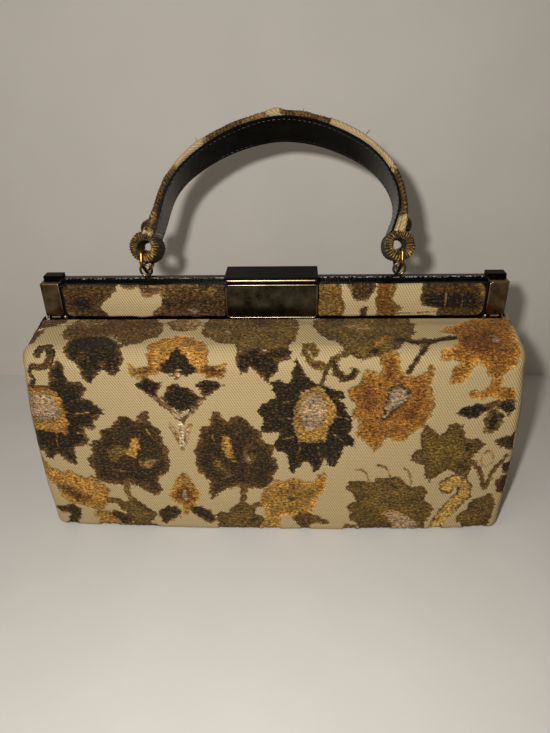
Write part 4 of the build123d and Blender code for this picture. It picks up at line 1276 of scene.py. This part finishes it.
    def build_loops(self) -> list[Piece]:
        """Make the turned loop at each end, with radial ribs on its rolled rims."""
        pieces = []
        for end, hand in ((-1, "left"), (1, "right")):
            turn = np.linspace(0, 2 * math.pi, 170, endpoint=False)[:, None]
            angle = np.linspace(0, 2 * math.pi, 64, endpoint=False)[None, :]
            mid = self.loop_radius - self.loop_wall / 2
            level = flattened(np.sin(angle), 0.85)
            across = flattened(np.cos(angle), 0.4) * self.width / 2
            rim, wave = np.abs(across) > self.width / 2 - self.rim, np.cos(self.loop_ribs * turn)
            ribs = 0.4 * wave * rim + 0.5 * cloud(turn * 8, across, 4.0, 75 + end)
            radius = mid + level * (self.loop_wall / 2 + 0.15 + ribs + 0.9 * (level > 0))
            x = end * self.loop_half_spacing + radius * np.cos(turn)
            height = radius * np.sin(turn)
            lean = self.lean(np.array(self.loop_height))
            centre = self.place(np.array(0.0), np.array(self.loop_height), np.array(0.0))
            bulge = across * (1 + 0.02 * wave)
            points = np.stack([
                x + 0 * across,
                centre[1] + height * np.sin(lean) + bulge * np.cos(lean),
                centre[2] + height * np.cos(lean) - bulge * np.sin(lean),
            ], -1)
            s = np.cumsum(np.hypot(np.gradient(across[0]), np.gradient(level[0]) * 3))[None, :] + 0 * turn
            t = turn * mid + 0 * s
            # the rims are light on their rib crests and dark in the grooves: straw yarn, with painted
            # highlight and painted shade
            light = (ease(wave + cloud(s, t, 2.5, 70 + end), -0.6, 0.9) * rim)[..., None]
            colour = Yarn.DARK.colour * (1 - light) + Yarn.STRAW.colour * light
            colour = colour * (0.75 + 0.35 * ease(cloud(s, t, 4.0, 73), -0.5, 0.5))[..., None]
            points = np.concatenate([points, points[:1]], 0)
            cloth = np.stack([s, t], -1)
            cloth = np.concatenate([cloth, cloth[:1] + [0, 2 * math.pi * mid]], 0)
            colour = np.concatenate([colour, colour[:1]], 0)
            ones = np.ones(points.shape[:2])
            piece = TapestrySheet(f"handle_loop_{hand}", 0.3, 0.0, 0.0).build(
                points, cloth, Weave(4 * ones, colour, ones), ones, 71 + end, True
            )
            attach(piece, "handle")
            pieces.append(piece)
        return pieces

    def build_stitches(self) -> Piece:
        """Make the rows of stitches along both edges of the leather lining."""
        rings, sides, proud = 5, 6, 0.05
        x, h, ox, oh = self.middle_line(self.stitch_pitch)
        level = self.inner_face(self.doubling(h)) - self.layer_gap - self.lining - proud
        points, faces = [], []
        for edge in (-1, 1):
            across = edge * (self.width / 2 - self.lining_margin - self.stitch_inset)
            middle = self.place(x + ox * level, h + oh * level, np.full(x.shape, across))
            inward = self.place(x + ox * (level - 1), h + oh * (level - 1), np.full(x.shape, across)) - middle
            tangent = np.gradient(middle, axis=0)
            tangent /= np.linalg.norm(tangent, axis=1, keepdims=True)
            sideways = np.cross(tangent, inward)
            for centre, lead, depth, wide in zip(middle[1:-1], tangent[1:-1], inward[1:-1], sideways[1:-1]):
                start = len(points)
                for k in np.linspace(-1, 1, rings):
                    bow = self.stitch_radius * math.sqrt(max(0.05, 1 - k * k))
                    for a in np.linspace(0, 2 * math.pi, sides, endpoint=False):
                        ring = depth * bow * math.cos(a) + wide * bow * math.sin(a)
                        points.append(centre + lead * k * self.stitch_length / 2 + ring)
                faces += grid_faces(rings, sides, True, start)
        piece = mesh_object("handle_stitches", np.array(points), faces, Finish.THREAD)
        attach(piece, "handle")
        return piece

    def build_loose_yarns(self) -> Piece:
        """Make the few yarns that have worked loose from the strap and its left end."""
        rng = np.random.default_rng(80)
        points, faces = [], []
        tufts = (
            ((58.5, 79.0), (0.55, 0.83), 5, 4.0), ((-70.5, 21.5), (0.9, -0.3), 4, 4.0),
            ((-74.0, 24.0), (0.5, -0.8), 3, 3.0), ((20.0, 95.0), (0.2, 1.0), 3, 1.8),
            ((-46.0, 76.0), (-0.5, 0.8), 3, 1.8),
        )
        for (x, h), (dx, dh), count, length in tufts:
            for _ in range(count):
                k = np.linspace(0, 1, 6)
                bend = rng.uniform(-1, 1, 2) * 1.2
                px = x + dx * k * length + bend[0] * k * k + rng.uniform(-0.5, 0.5)
                ph = h + dh * k * length + bend[1] * k * k
                path = self.place(px, ph, np.full(6, -self.width / 2 + rng.uniform(0, 3)))
                start = len(points)
                for i, centre in enumerate(path):
                    for a in (0, 2.1, 4.2):
                        ring = np.array([math.cos(a), math.sin(a), math.sin(a) * 0.5])
                        points.append(centre + 0.16 * (1 - 0.6 * k[i]) * ring)
                faces += grid_faces(6, 3, True, start)
        piece = mesh_object("handle_loose_yarns", np.array(points), faces, Finish.LOOSE_YARN)
        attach(piece, "handle")
        return piece

    def build(self) -> list[Piece]:
        """Make the handle's soft pieces."""
        domes = [self.build_dome(*stud) for stud in self.studs]
        strap, loops = self.build_strap(), self.build_loops()
        return [strap, *loops, self.build_stitches(), self.build_loose_yarns(), *domes]

    def build_dome(self, x: float, height: float, end: int, hand: str) -> Piece:
        """Make the domed cap of the stud through one end of the strap."""
        radius, rise, sides = self.dome_radius, self.dome_rise, self.dome_sides
        turn = np.linspace(0, 2 * math.pi, sides, endpoint=False)
        rings = []
        for k in np.linspace(0, 1, 9):
            ring_radius, level = radius * math.cos(k * math.pi / 2), rise * math.sin(k * math.pi / 2)
            rings.append((max(ring_radius, 0.05), level))
        rings = [(radius + 0.1, -1.0), (radius + 0.5, 0.0), (radius + 0.1, 0.5)] + rings[1:]
        grid = []
        for ring_radius, lift in rings:
            out = x + end * (self.thickness / 2 + 0.4 + lift)
            level = height + ring_radius * np.sin(turn)
            grid.append(self.place(np.full(sides, out), level, ring_radius * np.cos(turn)))
        points = np.array(grid)
        faces = grid_faces(len(rings), sides, True)
        if end < 0:
            faces = [f[::-1] for f in faces]
        faces.append(tuple(range((len(rings) - 1) * sides, len(rings) * sides)))
        piece = mesh_object(f"handle_stud_{hand}", points.reshape(-1, 3), faces, Finish.EYELET_BRASS)
        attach(piece, "handle")
        return piece


@dataclass(frozen=True)
class FrameTrim:
    """The polished beads along the edges of the clasp and the end caps, their paler brass partly painted
    highlight.
    """

    bead: float = 0.38

    def build(self) -> list[Piece]:
        """Make the beads in place on their CAD pieces."""
        pieces = [self._clasp_rim(), self._lid_lip()]
        pipings = [self._piping(hand) for hand in ("left", "right")]
        for hand in ("left", "right"):
            pieces.append(self._cap_bead(f"front_cap_{hand}", hand, "front_frame"))
        return pieces + pipings

    def _piping(self, hand: str) -> Piece:
        """Make the turned edge of the rear cover, which shows a broken line of light painted in pale patches.
        """
        low, high = (np.array(c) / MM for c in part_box("rear_cover"))
        sign = -1 if hand == "left" else 1
        x = np.linspace(sign * 30.5, sign * (high[0] - 13.5), 260)
        y = low[1] + 0.35 + 0.12 * cloud(x, x * 0, 2.3, 90)
        path = np.stack([x, y, high[2] - 0.2 + 0.2 * cloud(x, x * 0, 3.1, 91)], -1)
        piece = tube(f"rear_piping_{hand}", path, 0.42, Finish.EDGE, 8)
        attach(piece, "root")
        return piece

    def _clasp_rim(self) -> Piece:
        """Make the bead round the front of the clasp plate, its lower corners rounded."""
        low, high = (np.array(c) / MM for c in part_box("clasp_plate"))
        inset, corner = 0.6, 2.6
        x0, z0, x1, z1 = low[0] + inset, low[2] + inset, high[0] - inset, high[2] - inset
        y = low[1] + 0.12
        turn = np.linspace(0, math.pi / 2, 8)
        path = [(x0, z1), (x1, z1)]
        path += [(x1 - corner + corner * math.cos(a), z0 + corner - corner * math.sin(a)) for a in turn]
        path += [(x0 + corner - corner * math.sin(a), z0 + corner - corner * math.cos(a)) for a in turn]
        path = np.array([(x, y, z) for x, z in path])
        dense = []
        for p, q in zip(path, np.roll(path, -1, 0)):
            count = max(1, int(np.linalg.norm(q - p) / 2))
            dense += [p + (q - p) * k / count for k in range(count)]
        piece = tube("clasp_rim", np.array(dense), self.bead, Finish.LIP_BRASS, 10, True)
        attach(piece, "front_frame")
        return piece

    def _lid_lip(self) -> Piece:
        """Make the bright edge along the front of the lid: rubbed brass, painted paler as highlight."""
        low, high = (np.array(c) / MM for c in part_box("latch_lid"))
        x = np.linspace(low[0] + 0.8, high[0] - 0.8, 40)
        path = np.stack([x, np.full(40, low[1] + 0.15), np.full(40, high[2] - 2.1)], -1)
        piece = tube("latch_lid_lip", path, 0.8, Finish.LIP_BRASS, 10)
        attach(piece, "latch")
        return piece

    def _cap_bead(self, node: str, hand: str, body: str) -> Piece:
        """Make the bead down the inner edge of an end cap and along its top."""
        low, high = (np.array(c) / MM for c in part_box(node))
        inner, outer = (high[0], low[0]) if hand == "left" else (low[0], high[0])
        sign = 1 if hand == "left" else -1
        y, foot = low[1] + 0.2, 147.5
        down = [(inner - sign * 0.45, y, z) for z in np.linspace(foot, high[2] - 0.9, 12)]
        over = [(inner - sign * k, y, high[2] - 0.45) for k in np.linspace(1.2, abs(inner - outer) - 0.8, 8)]
        piece = tube(f"{node}_bead", np.array(down + over), self.bead, Finish.LIP_BRASS, 8)
        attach(piece, body)
        return piece


@dataclass(frozen=True)
class Lamp:
    """A square lamp that points at a target, in metres and watts."""

    name: str
    place: tuple[float, float, float]
    target: tuple[float, float, float]
    size: float
    watts: float

    def build(self) -> None:
        """Put the lamp in the scene."""
        light = bpy.data.lights.new(self.name, "AREA")
        light.size, light.energy = self.size, self.watts
        lamp = bpy.data.objects.new(self.name, light)
        lamp.location = self.place
        lamp.rotation_mode = "QUATERNION"
        lamp.rotation_quaternion = (Vector(self.target) - Vector(self.place)).to_track_quat("-Z", "Y")
        bpy.context.scene.collection.objects.link(lamp)


@dataclass(frozen=True)
class Studio:
    """Floor, wall, lamps, sky and camera."""

    focal_px: float = 600.0
    photo_size: tuple[int, int] = (550, 733)
    sensor_mm: float = 36.0
    eye_mm: tuple[float, float, float] = (15.9, -358.9, 304.7)
    tilt_deg: float = 29.4
    pan_deg: float = -2.4
    roll_deg: float = -1.2
    wall_y: float = 164.0
    reach: float = 4000.0
    wall_top: float = 3000.0
    floor_z: float = -0.2
    sky: str = "D8D4CC"
    sky_strength: float = 0.18
    lamps: tuple[Lamp, ...] = (
        Lamp("flash", (-0.030, -0.375, 0.345), (0.0, 0.0, 0.09), 0.018, 1.8),
        Lamp("window", (-0.9, -0.9, 1.1), (0.0, 0.0, 0.1), 0.9, 3.5),
    )

    def build(self) -> None:
        """Make the studio."""
        far, foot = self.reach, self.floor_z
        near, back = (-far, foot), (far, foot)
        self._paper("floor", near, back, Finish.FLOOR)
        self._paper("wall", (self.wall_y, foot), (self.wall_y, self.wall_top), Finish.WALL)
        for lamp in self.lamps:
            lamp.build()
        world = bpy.data.worlds.new("studio")
        world.use_nodes = True
        plug(world.node_tree.nodes["Background"], {0: rgba(self.sky), 1: self.sky_strength})
        bpy.context.scene.world = world
        bpy.context.scene.view_settings.view_transform = "Standard"
        self._camera()

    def _paper(self, name: str, low: Sequence[float], high: Sequence[float], finish: Finish) -> None:
        """Make one wide sheet of paper between two lines along X, each given by its y and z."""
        left, right = -self.reach, self.reach
        points = np.array([(left, *low), (right, *low), (right, *high), (left, *high)], float)
        mesh_object(name, points, [(0, 1, 2, 3)], finish)

    def _camera(self) -> None:
        """Make the camera at the photograph's viewpoint."""
        tilt, pan, roll = (math.radians(a) for a in (self.tilt_deg, self.pan_deg, self.roll_deg))
        forward = np.array([math.sin(pan) * math.cos(tilt), math.cos(pan) * math.cos(tilt), -math.sin(tilt)])
        right = np.array([math.cos(pan), -math.sin(pan), 0.0])
        up = np.cross(right, forward)
        cos, sin = math.cos(roll), math.sin(roll)
        right, up = cos * right + sin * up, -sin * right + cos * up
        camera = bpy.data.objects.new("camera", bpy.data.cameras.new("camera"))
        camera.data.sensor_width = self.sensor_mm
        camera.data.lens = self.focal_px / max(self.photo_size) * self.sensor_mm
        camera.data.clip_start, camera.data.clip_end = 0.01, 20.0
        matrix = Matrix.Identity(4)
        for row in range(3):
            matrix[row][:] = right[row], up[row], -forward[row], self.eye_mm[row] * MM
        camera.matrix_world = matrix
        bpy.context.scene.collection.objects.link(camera)
        bpy.context.scene.camera = camera


DRESS: dict[Finish, tuple[str, ...]] = {
    Finish.LEATHER: ("front_cover", "rear_cover", "front_facing", "rear_facing", "handle_lining"),
    Finish.DARK_BRASS: ("clasp_plate",),
    Finish.CAP_BRASS: ("front_cap_left", "front_cap_right"),
    Finish.LID_BRASS: ("rear_cap_left", "rear_cap_right", "latch_lid"),
    Finish.GOLD_WIRE: ("link_left", "link_right"),
    Finish.EYELET_BRASS: ("eyelet_left", "eyelet_right", "handle_rivet_left", "handle_rivet_right"),
    Finish.PIN_BRASS: ("clasp_keeper", "latch_bracket", "latch_pin", "hinge_pin_left", "hinge_pin_right"),
    Finish.STEEL: ("front_rail", "rear_rail"),
    Finish.LINING: ("lining",),
    Finish.BOARD: ("base_board",),
}


def dress_nodes(nodes: dict[str, Piece]) -> None:
    """Give every carried-over CAD node its finish."""
    for finish, names in DRESS.items():
        for name in names:
            mesh = nodes[name].data
            mesh.materials.clear()
            mesh.materials.append(finish.material)
            if finish not in (Finish.STEEL, Finish.BOARD):
                mesh.polygons.foreach_set("use_smooth", [False] * len(mesh.polygons))


def main() -> None:
    """Build the bag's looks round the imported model."""
    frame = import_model()
    dress_nodes(frame["nodes"])
    Studio().build()
    pattern = ClothPattern(front_figures())
    builders: dict[str, Callable[[], list[Piece]]] = {
        "body": lambda: BagBody().build(pattern),
        "pads": FramePads().build,
        "handle": Handle().build,
        "trim": FrameTrim().build,
    }
    for label, build in builders.items():
        for piece in build():
            LOG.info("%s: %s, %d faces", label, piece.name, len(piece.data.polygons))


if __name__ == "__main__":
    logging.basicConfig(level=logging.INFO)
    main()
